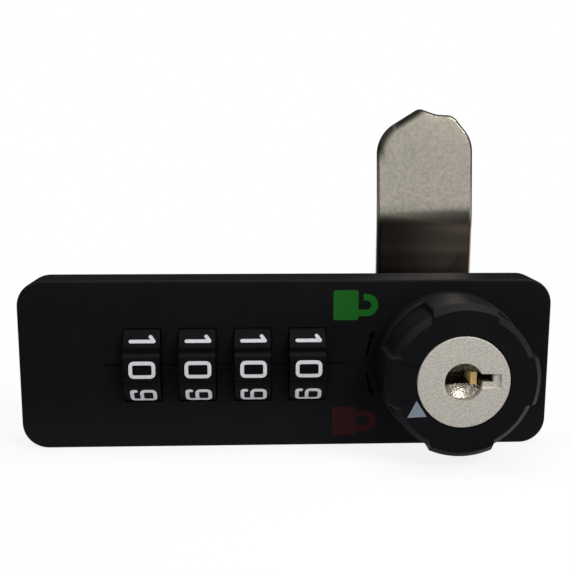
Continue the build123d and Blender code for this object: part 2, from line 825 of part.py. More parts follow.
def spindle():
    """Turned spindle: spiral collar, neck, journal in the barrel, and a square for the cam."""
    shape = along_y(spiral_collar(), neck_back_y, collar_back_y)
    shape += rod_y(spindle_neck_radius, collar_back_y, journal_start_y)
    journal_end_y = washer_front_y - 2 * stop_washer_gap
    shape += rod_y(journal_radius, journal_start_y, journal_end_y)
    shape += along_y(Rectangle(square_size, square_size), journal_end_y, square_end_y)
    thread_end_y = cam_back_y - cam_screw_length - cam_screw_tip_gap
    shape -= rod_y(cam_screw_radius + running_clearance, thread_end_y, square_end_y)
    for x in (-collar_screw_circle, collar_screw_circle):
        shape -= rod_y(collar_screw_radius, neck_back_y, collar_back_y, x)
    return shape


def spindle_screws():
    screws = []
    for x in (-collar_screw_circle, collar_screw_circle):
        shank_front = neck_back_y - collar_screw_length + screw_boss_gap
        shank = rod_y(collar_screw_radius - screw_fit_gap, shank_front, collar_back_y, x)
        head_back = collar_back_y + collar_screw_head_height
        head = rod_y(collar_screw_head_radius, collar_back_y, head_back, x)
        slot = cross_slot(x, 0, head_back, collar_screw_head_radius * screw_slot_share)
        screws.append(shank + head - slot)
    return Compound(children=screws)


def square_hole():
    side = square_size + 2 * square_fit
    return Rectangle(side, side)


def stop_washer():
    """A washer keyed to the spindle, whose bent tab runs in the barrel's pocket."""
    shape = along_y(Circle(stop_washer_radius) - square_hole(), washer_front_y, cam_front_y)
    start = stop_tab_rest - stop_tab_angle / 2
    end = stop_tab_rest + stop_tab_angle / 2
    tab = wedge(stop_washer_radius, start, end) & Circle(stop_washer_radius)
    tab -= Circle(stop_tab_inner)
    return shape + along_y(tab, barrel_length - stop_tab_depth, washer_front_y)


def cam_outline():
    """The cam seen from the front: a round hub end and a lopsided, hand-finished tip."""
    half = cam_width / 2
    tip_corners = {
        (-half, cam_reach - cam_left_shoulder_drop): cam_left_shoulder_round,
        (-cam_peak_left, cam_reach): cam_peak_round,
        (cam_saddle_right, cam_reach - cam_saddle_drop): cam_saddle_round,
        (cam_crown_right, cam_reach - cam_crown_drop): cam_crown_round,
        (half, cam_reach - cam_right_shoulder_drop): cam_right_shoulder_round,
    }
    blade = polygon((-half, 0), *tip_corners, (half, 0))
    for place, radius in tip_corners.items():
        blade = fillet(blade.vertices().sort_by_distance(place)[0], radius)
    return blade + Circle(half)


def cam_side():
    """The cam seen from the side: upright at the hub, leaning back above the bend."""
    lean = radians(cam_lean)
    rise = cam_reach + cam_thickness - cam_bend_height
    shift = rise * sin(lean) / cos(lean)
    half_turn = cam_thickness * sin(lean / 2) / cos(lean / 2)
    return polygon(
        (cam_front_y, -cam_width),
        (cam_front_y, cam_bend_height),
        (cam_front_y + shift, cam_bend_height + rise),
        (cam_front_y + shift + cam_thickness / cos(lean), cam_bend_height + rise),
        (cam_back_y, cam_bend_height - half_turn),
        (cam_back_y, -cam_width),
    )


def cam():
    """A stamped steel cam with a square hole, bent back near its middle."""
    blank = along_y(cam_outline(), cam_front_y, cam_back_y + cam_reach)
    plate = blank & along_x(cam_side(), -cam_width, cam_width)
    front_faces = [face for face in plate.faces() if face.normal_at().Y < -cos(radians(2 * cam_lean))]
    front_edges = [edge for face in front_faces for edge in face.edges()]
    rim = [edge for edge in front_edges if abs(edge.center().Z - cam_bend_height) > running_clearance]
    plate = fillet(rim, cam_edge_round)
    return plate - along_y(square_hole(), cam_front_y, cam_back_y)


def cam_washer():
    ring = Circle(cam_washer_radius) - Circle(cam_screw_radius + cam_washer_bore_gap)
    return along_y(ring, cam_back_y, cam_washer_back_y)


def cam_screw():
    """A hexagon-head screw into the spindle's end."""
    head_back_y = cam_washer_back_y + cam_screw_head
    hexagon = RegularPolygon(cam_screw_flats / 2, 6, major_radius=False)
    crown = rod_y(cam_screw_crown / 2, cam_washer_back_y, head_back_y)
    crown = chamfer(crown.edges().group_by(Axis.Y)[-1], cam_screw_head / 6)
    head = along_y(hexagon, cam_washer_back_y, head_back_y) & crown
    return head + rod_y(cam_screw_radius, cam_back_y - cam_screw_length, cam_washer_back_y)


def all_nodes():
    """Every piece of the lock, by name."""
    nodes = {
        "front_case": front_case(),
        "icon_open_print": icon_print(icon_centre_height, True),
        "icon_locked_print": icon_print(-icon_centre_height, False),
        "mount_inserts": mount_inserts(),
        "rear_housing": rear_housing(),
        "housing_screws": housing_screws(),
        "detent_comb": detent_comb(),
        "comb_screws": comb_screws(),
        "dial_shaft": dial_shaft(),
        "locking_bar": locking_bar(),
        "bar_spring": bar_spring(),
        "knob": knob(),
        "pointer_mark": pointer_mark(),
        "knob_clip": knob_clip(),
        "cylinder_shell": cylinder_shell(),
        "key_plug": key_plug(),
        "plug_wafers": plug_wafers(),
        "spindle": spindle(),
        "spindle_screws": spindle_screws(),
        "stop_washer": stop_washer(),
        "cam": cam(),
        "cam_washer": cam_washer(),
        "cam_screw": cam_screw(),
    }
    for i, x in enumerate(dial_xs):
        nodes[f"dial_wheel_{i + 1}"] = dial_wheel(x)
        nodes[f"code_sleeve_{i + 1}"] = code_sleeve(x)
    return nodes


os.makedirs("parts", exist_ok=True)
for name, shape in all_nodes().items():
    export_step(shape, f"parts/{name}.step")
    print(f"{name}: {len(shape.solids())} solid(s), {shape.volume:.1f} mm3")
print(f"bar travel per radian of knob turn: {spiral_rise:.4f} mm")
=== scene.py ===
# %% [markdown]
# # A four-dial drawer lock
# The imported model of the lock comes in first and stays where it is. Everything that is added or dressed
# later is placed against it, in metres, so nothing has to be fitted by eye.
# %% Load the frame
import bpy
import json
from math import acos, asin, atan2, cos, degrees, pi, radians, sin, tan
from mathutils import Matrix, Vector

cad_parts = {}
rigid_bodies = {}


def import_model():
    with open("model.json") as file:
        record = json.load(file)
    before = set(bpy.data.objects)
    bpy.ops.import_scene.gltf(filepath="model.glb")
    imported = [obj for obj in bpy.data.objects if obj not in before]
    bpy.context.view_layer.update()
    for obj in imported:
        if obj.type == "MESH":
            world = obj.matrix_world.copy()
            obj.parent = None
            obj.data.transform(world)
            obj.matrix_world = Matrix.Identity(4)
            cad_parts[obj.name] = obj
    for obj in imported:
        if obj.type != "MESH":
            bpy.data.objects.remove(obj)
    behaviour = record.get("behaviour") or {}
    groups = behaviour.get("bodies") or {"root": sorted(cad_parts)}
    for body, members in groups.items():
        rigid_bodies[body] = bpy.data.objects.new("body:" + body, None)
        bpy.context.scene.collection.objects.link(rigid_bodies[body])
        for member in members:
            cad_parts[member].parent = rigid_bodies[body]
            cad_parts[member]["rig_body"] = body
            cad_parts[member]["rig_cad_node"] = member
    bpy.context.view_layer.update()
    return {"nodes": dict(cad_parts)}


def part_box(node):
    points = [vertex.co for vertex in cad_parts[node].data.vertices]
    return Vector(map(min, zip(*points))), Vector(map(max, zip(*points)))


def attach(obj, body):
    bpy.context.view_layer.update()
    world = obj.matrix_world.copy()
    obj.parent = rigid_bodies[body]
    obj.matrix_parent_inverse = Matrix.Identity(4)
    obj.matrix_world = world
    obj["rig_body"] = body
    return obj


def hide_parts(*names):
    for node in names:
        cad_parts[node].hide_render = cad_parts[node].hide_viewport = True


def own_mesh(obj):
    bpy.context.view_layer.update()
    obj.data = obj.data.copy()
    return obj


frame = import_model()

nodes = frame["nodes"]

# %% [markdown]
# ## Sizes
# The lock was drawn in millimetres, with the origin on the knob's axis at the back of the case, so the
# numbers here are millimetres too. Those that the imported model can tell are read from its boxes: that
# way a change in the drawing moves the pieces of this scene along with it.
# %% Sizes in millimetres
MM = 0.001


def box_of(node):
    """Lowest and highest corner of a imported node, in millimetres."""
    low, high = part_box(node)
    return Vector(low) / MM, Vector(high) / MM


case_low, case_high = box_of("front_case")
knob_low = box_of("knob")[0]
face_y = case_low.y
knob_face_y = knob_low.y
dial_centres = [sum(box_of(f"dial_wheel_{i}"), Vector()) / 2 for i in (1, 2, 3, 4)]
dial_low, dial_high = box_of("dial_wheel_1")
dial_radius = (dial_high.z - dial_low.z) / 2
dial_width = dial_high.x - dial_low.x
print("front face", round(face_y, 2), "knob face", round(knob_face_y, 2), "dials", round(dial_radius, 2))

# %% [markdown]
# ## The camera
# The photograph was taken from a little to the left and above, from close by: the upright edges lean and
# the knob hides part of the case. The place, the aim and the lens were worked out from the corners of the
# case and from the round face of the knob. The camera is turned by three directions of its own,
# right, up and back, which are simply the three columns of its matrix.
# %% Camera
photo_width = 573
focal_length = 850
sensor_width = 36
camera_place = Vector((-43.08, -189.59, 48.62)) * MM
yaw, pitch, roll = radians(2.407), radians(9.849), radians(0.157)
ahead = Vector((sin(yaw) * cos(pitch), cos(yaw) * cos(pitch), -sin(pitch)))
level = Vector((cos(yaw), -sin(yaw), 0))
upright = level.cross(ahead)
right = cos(roll) * level + sin(roll) * upright
up = -sin(roll) * level + cos(roll) * upright
bpy.ops.object.select_all(action="DESELECT")
bpy.ops.object.camera_add(location=camera_place)
camera = bpy.context.object
camera.name = "photo_camera"
turn = camera.matrix_world.copy()
for row in range(3):
    turn[row][0], turn[row][1], turn[row][2] = right[row], up[row], -ahead[row]
camera.matrix_world = turn
camera.data.lens = focal_length / photo_width * sensor_width
camera.data.sensor_width = sensor_width
camera.data.clip_start = 0.01
bpy.context.scene.camera = camera
print("lens", round(camera.data.lens, 2), "mm")

# %% [markdown]
# ## Table, room and lamps
# The lock stands on a plain white table. The lamps are large and soft: one above to the right, which
# throws the knob's shadow to the left, one above to the left and a long one overhead. In a white room
# black plastic looks grey, so a photographer sets up dark cards for it to mirror. Here there are four.
# The upper edge of the card behind the camera decides, together with painted shade on the cam, where the
# cam turns from light to dark at its bend, and the near edge of the card on the table how bright the knob's
# lower chamfers are. The other two darken the top of the case and the left edge of the cam. The cards show
# only in reflections.
# %% Table, cards and lamps
scene = bpy.context.scene
scene.view_settings.view_transform = "Standard"
floor_z = min(case_low.z, knob_low.z) * MM
bpy.ops.mesh.primitive_plane_add(size=6, location=(0, 0, floor_z - 0.00005))
floor = bpy.context.object
floor.name = "table_top"
cards = []
for name, place, tilt, size in (
    ("dark_card_behind_camera", (0, -0.7, 0.012), (pi / 2, 0, 0), (2.4, 0.124)),
    ("dark_card_on_table", (0, -0.3616, floor_z + 0.001), (0, 0, 0), (2.4, 0.6768)),
    ("dark_card_behind_lock", (0, 0.45, 0.22), (pi / 2, 0, 0), (2.4, 0.56)),
    ("dark_card_on_the_left", (-0.55, -0.2, 0.21), (0, pi / 2, 0), (0.45, 0.9)),
):
    bpy.ops.mesh.primitive_plane_add(size=1, location=place, rotation=tilt)
    card = bpy.context.object
    card.name = name
    card.scale = (*size, 1)
    card.visible_camera = card.visible_diffuse = card.visible_shadow = card.visible_transmission = False
    cards.append(card)


def soft_lamp(name, place, aim, size, watts, tint):
    """A square soft lamp at a place, looking at a point, both in millimetres."""
    bpy.ops.object.light_add(type="AREA", location=Vector(place) * MM)
    lamp = bpy.context.object
    lamp.name = name
    lamp.data.shape = "RECTANGLE"
    lamp.data.size = size[0] * MM
    lamp.data.size_y = size[1] * MM
    lamp.data.energy = watts
    lamp.data.color = tint
    look = (Vector(aim) - Vector(place)).to_track_quat("-Z", "Y")
    lamp.rotation_euler = look.to_euler()
    return lamp


soft_lamp("key_lamp", (260, -330, 420), (-10, 0, 0), (240, 240), 2.3, (1, 0.992, 0.98))
soft_lamp("left_lamp", (-420, -260, 330), (-40, 0, 0), (260, 260), 0.3, (0.97, 0.985, 1))
soft_lamp("top_lamp", (-30, 60, 520), (-30, 0, 0), (420, 200), 1.54, (1, 1, 1))

# %% [markdown]
# ## A helper for finishes
# Each finish is a small net of shader nodes. `Value` wraps one output so that sums can be written as
# ordinary Python, `Net` makes nodes and feeds their sockets, and `Finish` is the net of one material and
# holds its surface shader. Numbers that are the same all over a surface are set on the shader itself.
# %% Node helper


def sum_method(operation, swapped=False):
    """The method that Python calls for a sign such as +, or for the same sign with a number before it."""
    if swapped:
        return lambda self, other: self.net.sum_of(operation, other, self)
    return lambda self, other: self.net.sum_of(operation, self, other)


class Value:
    """One output of a node. Sums on it add Math nodes."""

    def __init__(self, net, socket):
        self.net = net
        self.socket = socket

    __add__, __radd__ = sum_method("ADD"), sum_method("ADD", True)
    __sub__, __rsub__ = sum_method("SUBTRACT"), sum_method("SUBTRACT", True)
    __mul__, __rmul__ = sum_method("MULTIPLY"), sum_method("MULTIPLY", True)
    __pow__ = sum_method("POWER")


class Net:
    """The nodes of a material or of the room, which one method makes and another feeds."""

    def __init__(self, tree):
        self.tree = tree

    def node(self, kind, settings=None, inputs=None):
        """Any node: its settings are made first, then its sockets get values or links."""
        made = self.tree.nodes.new(kind)
        for key, value in (settings or {}).items():
            setattr(made, key, value)
        for key, value in (inputs or {}).items():
            self.feed(made.inputs[key], value)
        return made

    def feed(self, socket, value):
        if isinstance(value, Value):
            self.tree.links.new(value.socket, socket)
        else:
            socket.default_value = value

    def sum_of(self, operation, first, second):
        made = self.node("ShaderNodeMath", {"operation": operation}, {0: first, 1: second})
        return Value(self, made.outputs[0])

    def ease(self, value, start, end, low=0.0, high=1.0):
        """Goes smoothly from low to high while the value goes from start to end."""
        made = self.node(
            "ShaderNodeMapRange",
            {"interpolation_type": "SMOOTHSTEP"},
            {"Value": value, 1: start, 2: end, 3: low, 4: high},
        )
        return Value(self, made.outputs[0])


def opaque(colour):
    """A plain colour gets the fourth number that a colour socket wants; a node's output stays as it is."""
    return (*colour, 1) if isinstance(colour, tuple) else colour


class Finish(Net):
    """A material, built node by node."""

    def __init__(self, name, **constants):
        self.material = bpy.data.materials.new(name + "_finish")
        self.material.use_nodes = True
        super().__init__(self.material.node_tree)
        self.shader = self.tree.nodes["Principled BSDF"]
        for key, value in constants.items():
            self.shader.inputs[key.replace("_", " ")].default_value = value

    def place(self, stretch=(1, 1, 1)):
        """The point on the lock in metres, stretched for a grain."""
        point = Value(self, self.node("ShaderNodeTexCoord").outputs["Object"])
        if stretch == (1, 1, 1):
            return point
        made = self.node("ShaderNodeMapping", {}, {"Vector": point, "Scale": stretch})
        return Value(self, made.outputs["Vector"])

    def along(self):
        """The three coordinates of the point on the lock, each in millimetres."""
        split = self.node("ShaderNodeSeparateXYZ", {}, {0: self.place()})
        return [Value(self, split.outputs[axis]) * (1 / MM) for axis in range(3)]

    def noise(self, size_mm, detail=2.0, stretch=(1, 1, 1), rough=0.5):
        """Soft noise whose blobs are about this many millimetres across."""
        made = self.node(
            "ShaderNodeTexNoise",
            {"noise_dimensions": "3D"},
            {"Vector": self.place(stretch), "Scale": 1 / (size_mm * MM), "Detail": detail,
             "Roughness": rough},
        )
        return Value(self, made.outputs[0])

    def blend(self, amount, first, second):
        """A colour between two, by an amount from 0 to 1."""
        made = self.node(
            "ShaderNodeMix",
            {"data_type": "RGBA"},
            {0: amount, 6: opaque(first), 7: opaque(second)},
        )
        return Value(self, made.outputs[2])

    def bumps(self, height, depth_mm):
        """Turns a height from 0 to 1 into dents of this depth."""
        made = self.node("ShaderNodeBump", {}, {"Height": height, "Distance": depth_mm * MM, "Strength": 1.0})
        return Value(self, made.outputs["Normal"])

    def wear(self, **varying):
        """Feeds what changes over the surface into the shader."""
        for key, value in varying.items():
            self.feed(self.shader.inputs[key.replace("_", " ")], value)


print("node helper ready")

# %% [markdown]
# ## White table, dark cards
# The table has to look as white as the page round the photographed lock and still take its shadow. Part
# of its white is plain paint, which the lamps light and the lock shades; the rest is a glow that only the
# camera, mirrors and glass see, and which takes over with the distance. The room is white in the same way.
# %% Stage finishes


def glow_for_eyes(net, glow, plain, amount):
    """Mixes a glow into a shader for camera, mirror and glass rays only, by a number or a value."""
    ray = net.node("ShaderNodeLightPath")
    camera_ray, mirror_ray, glass_ray = (
        Value(net, ray.outputs[f"Is {kind} Ray"]) for kind in ("Camera", "Glossy", "Transmission")
    )
    seen = net.sum_of("MAXIMUM", net.sum_of("MAXIMUM", camera_ray, mirror_ray), glass_ray)
    mixed = net.node("ShaderNodeMixShader", {}, {0: seen * amount, 1: Value(net, plain), 2: Value(net, glow)})
    return Value(net, mixed.outputs[0])


table_paint = Finish("table_white", Roughness=0.9, Base_Color=(0.86, 0.86, 0.86, 1), Specular_IOR_Level=0.0)
table_glow = table_paint.node("ShaderNodeEmission", {}, {"Color": (1, 1, 1, 1), "Strength": 1.0})
reach = table_paint.node("ShaderNodeVectorMath", {"operation": "LENGTH"}, {0: table_paint.place()})
far_off = table_paint.ease(Value(table_paint, reach.outputs[1]), 0.1, 0.32, 0.86, 1.0)
mixed = glow_for_eyes(table_paint, table_glow.outputs[0], table_paint.shader.outputs[0], far_off)
table_paint.feed(table_paint.tree.nodes["Material Output"].inputs["Surface"], mixed)
floor.data.materials.append(table_paint.material)
card_paint = Finish("card_black", Roughness=1.0, Base_Color=(0.01, 0.01, 0.01, 1), Specular_IOR_Level=0.0)
for card in cards:
    card.data.materials.append(card_paint.material)
world = bpy.data.worlds.new("white_room")
scene.world = world
world.use_nodes = True
room_net = Net(world.node_tree)
sky = room_net.tree.nodes["Background"]
sky.inputs["Color"].default_value = (0.9, 0.93, 1, 1)
sky.inputs["Strength"].default_value = 0.27
page = room_net.node("ShaderNodeBackground", {}, {"Color": (1, 1, 1, 1), "Strength": 1.0})
room = glow_for_eyes(room_net, page.outputs[0], sky.outputs[0], 1.0)
room_net.feed(room_net.tree.nodes["World Output"].inputs["Surface"], room)
print("stage ready")

# %% [markdown]
# ## Finishes of the lock
# The case, the knob and the dials are black, but not one black: the case is a painted casting with a fine
# grain, the knob is a smoother, slightly bluish moulding, and the dials are duller. The key cylinder is
# bead-blasted nickel, the cam is rolled steel with a cloudy zinc coat. All are drawn from noise at the
# size of the real grain.
# %% Blacks and paints


def black_coat(name, colour, roughness, grain_mm, depth_mm, gloss):
    """A black coat or moulding: a fine grain, and a roughness that wanders a little."""
    finish = Finish(name, Specular_IOR_Level=gloss)
    clouds = finish.noise(7.0, 3)
    grain = finish.noise(grain_mm, 2)
    lighter = tuple(channel * 1.5 for channel in colour)
    finish.wear(
        Base_Color=finish.blend(clouds, colour, lighter),
        Roughness=roughness - 0.06 + clouds * 0.08 + grain * 0.06,
        Normal=finish.bumps(grain, depth_mm),
    )
    return finish.material


def ink(name, colour, roughness=0.5, gloss=0.1):
    """Printed or filled ink, a little uneven in strength."""
    finish = Finish(name, Specular_IOR_Level=gloss)
    patches = finish.noise(0.9, 3)
    thin = tuple(channel * 0.72 for channel in colour)
    finish.wear(
        Base_Color=finish.blend(patches, colour, thin),
        Roughness=roughness + patches * 0.1,
        Normal=finish.bumps(finish.noise(0.25, 2), 0.004),
    )
    return finish.material


case_black = black_coat("case_black", (0.0041, 0.0041, 0.005), 0.48, 0.24, 0.022, 0.055)
knob_black = black_coat("knob_black", (0.0044, 0.0044, 0.0054), 0.42, 0.18, 0.008, 0.09)
dial_black = black_coat("dial_black", (0.0026, 0.0026, 0.003), 0.48, 0.2, 0.008, 0.05)
housing_black = black_coat("housing_black", (0.0045, 0.0045, 0.005), 0.52, 0.25, 0.012, 0.08)
screw_black = black_coat("screw_black", (0.012, 0.012, 0.013), 0.38, 0.15, 0.004, 0.45)
digit_white = ink("digit_white", (0.67, 0.67, 0.7))
print_green = ink("print_green", (0.0078, 0.113, 0.0104))
print_red = ink("print_red", (0.0334, 0.0043, 0.0048))
pointer_grey = ink("pointer_grey", (0.2, 0.242, 0.287))
arrow_black = ink("arrow_black", (0.0004, 0.0004, 0.0004), 0.8, 0.0)

# %% [markdown]
# Metal takes its look from what it mirrors, so its colour is light and its roughness does the work. Bead
# blasting leaves fine, even speckles; rolling leaves long faint streaks; a zinc coat is cloudy. One recipe
# with two sizes of noise covers them all. The blasted face scatters light like paint, so it is metal only
# in part, and in the bores and the keyway, behind a given depth, the metal is painted dark as shade.
# %% Metals


def metal(
    name, colour, roughness, cloud_mm=4.0, cloud=0.1, grain_mm=0.15, depth_mm=0.004, stretch=(1, 1, 1),
    shaded_behind=None, recess_shade_colour=(0.09, 0.075, 0.055), metallic=1.0, speckle=None,
):
    """A cloudy, finely grained metal, painted dark as shade behind a given depth. Speckle sharpens its
    clouds.
    """
    finish = Finish(name, Metallic=metallic)
    clouds = finish.noise(cloud_mm, 4, rough=0.6)
    if speckle:
        clouds = finish.ease(clouds, 0.5 - speckle, 0.5 + speckle)
    grain = finish.noise(grain_mm, 2, stretch)
    darker = tuple(channel * (1 - 2 * cloud) for channel in colour)
    coat = finish.blend(clouds, colour, darker)
    # Painted shade: behind the given depth, in bores, slots and keyways, the colour turns dark.
    if shaded_behind:
        coat = finish.blend(finish.ease(finish.along()[1], shaded_behind, shaded_behind + 0.5), coat, recess_shade_colour)
    finish.wear(
        Base_Color=coat,
        Roughness=roughness - 0.08 + clouds * 0.1 + grain * 0.08,
        Normal=finish.bumps(grain, depth_mm),
    )
    return finish.material


# The cylinder and the plug get painted shade in their bores, slot and keyway, behind the depth given.
cylinder_nickel = metal(
    "cylinder_nickel", (0.79, 0.745, 0.66), 0.56, 0.3, 0.17, 0.3, 0.03,
    shaded_behind=knob_face_y + 1.2, recess_shade_colour=(0.16, 0.105, 0.05), metallic=0.55, speckle=0.12,
)
plug_metal = metal(
    "plug_metal", (0.44, 0.4, 0.33), 0.22, 0.6, 0.3, 0.45, 0.16, shaded_behind=knob_face_y + 2.7, speckle=0.15,
)
wafer_brass = metal("wafer_brass", (1.0, 0.7, 0.27), 0.3, 0.8, 0.12, 0.1, 0.003, metallic=0.25)
finish_of = {}
for node, name, *look in (
    ("dial_shaft", "shaft_steel", (0.55, 0.55, 0.55), 0.3, 3.0, 0.06, 0.1, 0.002, (0.1, 1, 1)),
    ("locking_bar", "bar_steel", (0.5, 0.49, 0.46), 0.38),
    ("detent_comb", "spring_steel", (0.5, 0.5, 0.52), 0.28),
    ("bar_spring", "spring_wire", (0.55, 0.55, 0.56), 0.25),
    ("comb_screws", "screw_steel", (0.55, 0.55, 0.56), 0.32),
    ("knob_clip", "clip_steel", (0.42, 0.42, 0.43), 0.34),
    ("spindle", "spindle_steel", (0.5, 0.49, 0.47), 0.36),
    ("spindle_screws", "spindle_screw_steel", (0.55, 0.55, 0.56), 0.32),
    ("stop_washer", "stop_washer_steel", (0.52, 0.5, 0.45), 0.38),
    ("cam_washer", "cam_washer_steel", (0.55, 0.54, 0.52), 0.34),
    ("cam_screw", "cam_screw_steel", (0.56, 0.55, 0.52), 0.3, 2.0, 0.1),
    ("mount_inserts", "insert_brass", (0.7, 0.5, 0.22), 0.34),
    # The sleeves' brass is painted very dark, as painted shade for the narrow gaps beside the drums where it
    # shows.
    ("code_sleeves", "sleeve_brass", (0.14, 0.1, 0.05), 0.6),
):
    finish_of[node] = metal(name, *look)
print("metals:", len(bpy.data.materials))

# %% [markdown]
# The cam's steel is cloudy all over. The upper left of its tip and its rim are painted dark, as painted
# shade on edges that turn from the light. The front at the bend and below it is painted darker and browner,
# as painted shade and a painted dark reflection. These places are drawn with the point's own coordinates:
# a distance from the left edge, from the round shoulder and from the straight run up to the peak. An
# attribute of the mesh, made with the piece, tells the rim from the face.
# %% Cam steel


def cam_coat():
    """Cloudy steel with painted shade on the upper left edge and the rim, and low on the front."""
    finish = Finish("cam_steel", Metallic=1.0)
    x, y, z = finish.along()
    clouds = finish.noise(0.9, 3, rough=0.65)
    grain = finish.noise(0.3, 2)
    # Painted shade: masks for the upper left edge of the tip, along its round shoulder and its straight run.
    shoulder = ((x + 3.0) ** 2 + (z - 44.8) ** 2) ** 0.5
    round_part = finish.ease(shoulder, 6.4, 8.2) * finish.ease(z, 42.0, 46.5) * finish.ease(x, -7.0, -8.4)
    line = (z - 49.7) * 0.852 - (x + 11.8) * 0.524
    straight_part = finish.ease(line, -2.1, -0.7) * finish.ease(x, -8.4, -7.0) * finish.ease(x, 2.2, -2.0)
    front = box_of("cam")[0].y
    front_only = finish.ease(y, front + 1.4, front + 0.6)
    # Painted shade: the front below the bend, darkened most on the left.
    foot_shade = finish.ease(z + clouds * 1.6, 31.5, 27.5) * front_only
    left_edge = finish.ease(x, -10.4, -11.6)
    rim = Value(finish, finish.node("ShaderNodeAttribute", {"attribute_name": "rim"}).outputs["Fac"])
    dark = (1 - 0.9 * round_part) * (1 - 0.9 * straight_part) * (1 - 0.9 * foot_shade * left_edge)
    # Painted shade: a dark band across the front at the bend.
    low = z + clouds * 1.2 - 0.6
    bend_shade = finish.ease(low, 30.9, 28.6) * finish.ease(low, 26.6, 28.2) * front_only
    low_shade = (1 - foot_shade * finish.ease(x, 8.0, -9.0, 0.0, 0.7)) * (1 - 0.55 * bend_shade)
    # Painted shade: the rim is darkened, least at its far left and less low down.
    rim_shade = finish.ease(rim, 0.0, 0.4) * finish.ease(x, -11.0, -6.0, 0.1, 0.88)
    rim_shade *= finish.ease(z, 32.0, 42.0, 0.35, 1.0)
    shade = dark * low_shade * (1 - rim_shade)
    steel = finish.blend(clouds, (0.5, 0.465, 0.39), (0.2, 0.188, 0.155))
    # Painted dark reflection: the front below the bend turns browner before it is darkened.
    steel = finish.blend(foot_shade * 0.8, steel, (0.62, 0.5, 0.4))
    finish.wear(
        Base_Color=finish.blend(shade, (0.004, 0.0035, 0.003), steel),
        Roughness=0.17 + clouds * 0.06 + rim * 0.25,
        Normal=finish.bumps(grain, 0.001),
    )
    return finish.material


cam_steel = cam_coat()
print("finishes:", len(bpy.data.materials))

# %% [markdown]
# Every imported node wears the finish of its own material slot. The nodes that are later replaced by a
# finer piece hand that finish on to it.
# %% Dress the imported nodes
finish_of.update({
    "front_case": case_black, "icon_open_print": print_green, "icon_locked_print": print_red,
    "rear_housing": housing_black, "housing_screws": screw_black, "knob": knob_black,
    "pointer_mark": pointer_grey, "cylinder_shell": cylinder_nickel, "key_plug": plug_metal,
    "plug_wafers": wafer_brass, "cam": cam_steel,
})
sleeve_brass = finish_of.pop("code_sleeves")
for i in (1, 2, 3, 4):
    finish_of[f"dial_wheel_{i}"] = dial_black
    finish_of[f"code_sleeve_{i}"] = sleeve_brass
slot_of = {name: piece.material_slots[0].material.name for name, piece in nodes.items()}
for name, piece in nodes.items():
    for holder in piece.material_slots:
        holder.material = finish_of[name]
print("dressed:", len(finish_of), "of", len(nodes))

# %% [markdown]
# ## Modelling helpers
# A new piece starts as a primitive at its size and place. Its place is then moved into its mesh, so that
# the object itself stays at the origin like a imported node. Edges and faces are picked in code by where
# they are, because there is nobody here to click on them.
# %% Modelling helpers


def only(piece):
    """Makes this the one selected and active object."""
    bpy.ops.object.select_all(action="DESELECT")
    piece.select_set(True)
    bpy.context.view_layer.objects.active = piece


def mode(name):
    """Opens the active object for editing (EDIT) or closes it again (OBJECT)."""
    bpy.ops.object.mode_set(mode=name)


def settle(name):
    """Names the new primitive and moves its place, turn and scale into its mesh."""
    piece = bpy.context.object
    piece.name = name
    only(piece)
    bpy.ops.object.transform_apply(location=True, rotation=True, scale=True)
    return piece


def turned(name, radius, y_range, centre=(0, 0), sides=192):
    """A round bar along Y, in millimetres, centred on (x, z)."""
    middle = (y_range[0] + y_range[1]) / 2
    bpy.ops.mesh.primitive_cylinder_add(
        vertices=sides, radius=radius * MM, depth=(y_range[1] - y_range[0]) * MM,
        location=Vector((centre[0], middle, centre[1])) * MM, rotation=(pi / 2, 0, 0),
    )
    return settle(name)


def rolled(name, radius, x_range, centre=(0, 0), sides=192):
    """A round bar along X, in millimetres, centred on (y, z)."""
    middle = (x_range[0] + x_range[1]) / 2
    bpy.ops.mesh.primitive_cylinder_add(
        vertices=sides, radius=radius * MM, depth=(x_range[1] - x_range[0]) * MM,
        location=Vector((middle, centre[0], centre[1])) * MM, rotation=(0, pi / 2, 0),
    )
    return settle(name)


def slab(name, low, high):
    """A block between two corners, in millimetres."""
    low, high = Vector(low), Vector(high)
    bpy.ops.mesh.primitive_cube_add(size=1, location=(low + high) / 2 * MM, scale=(high - low) * MM)
    return settle(name)


def start_picking(piece, kind):
    """Says whether edges or faces are picked, and lets go of what was picked before."""
    only(piece)
    mode("EDIT")
    bpy.ops.mesh.select_mode(type=kind)
    bpy.ops.mesh.select_all(action="DESELECT")
    mode("OBJECT")


def pick_edges(piece, rule):
    """Opens the piece for editing with the edges selected whose two ends pass the rule."""
    start_picking(piece, "EDGE")
    points = piece.data.vertices
    for edge in piece.data.edges:
        edge.select = bool(rule(points[edge.vertices[0]].co / MM, points[edge.vertices[1]].co / MM))
    mode("EDIT")


def pick_faces(piece, rule):
    """Opens the piece for editing with the faces selected whose centre and normal pass the rule."""
    start_picking(piece, "FACE")
    for face in piece.data.polygons:
        face.select = bool(rule(face.center / MM, face.normal))
    mode("EDIT")


def round_edges(piece, rule, width, segments=3):
    """Bevels the picked edges."""
    pick_edges(piece, rule)
    bpy.ops.mesh.bevel(offset=width * MM, segments=segments, affect="EDGES", clamp_overlap=True)
    mode("OBJECT")


def carve(piece, tool, how="DIFFERENCE"):
    """Cuts, joins or intersects with another mesh, which is used up."""
    only(piece)
    step = piece.modifiers.new("carve", "BOOLEAN")
    step.operation = how
    step.solver = "EXACT"
    step.object = tool
    bpy.ops.object.modifier_apply(modifier=step.name)
    bpy.data.objects.remove(tool)


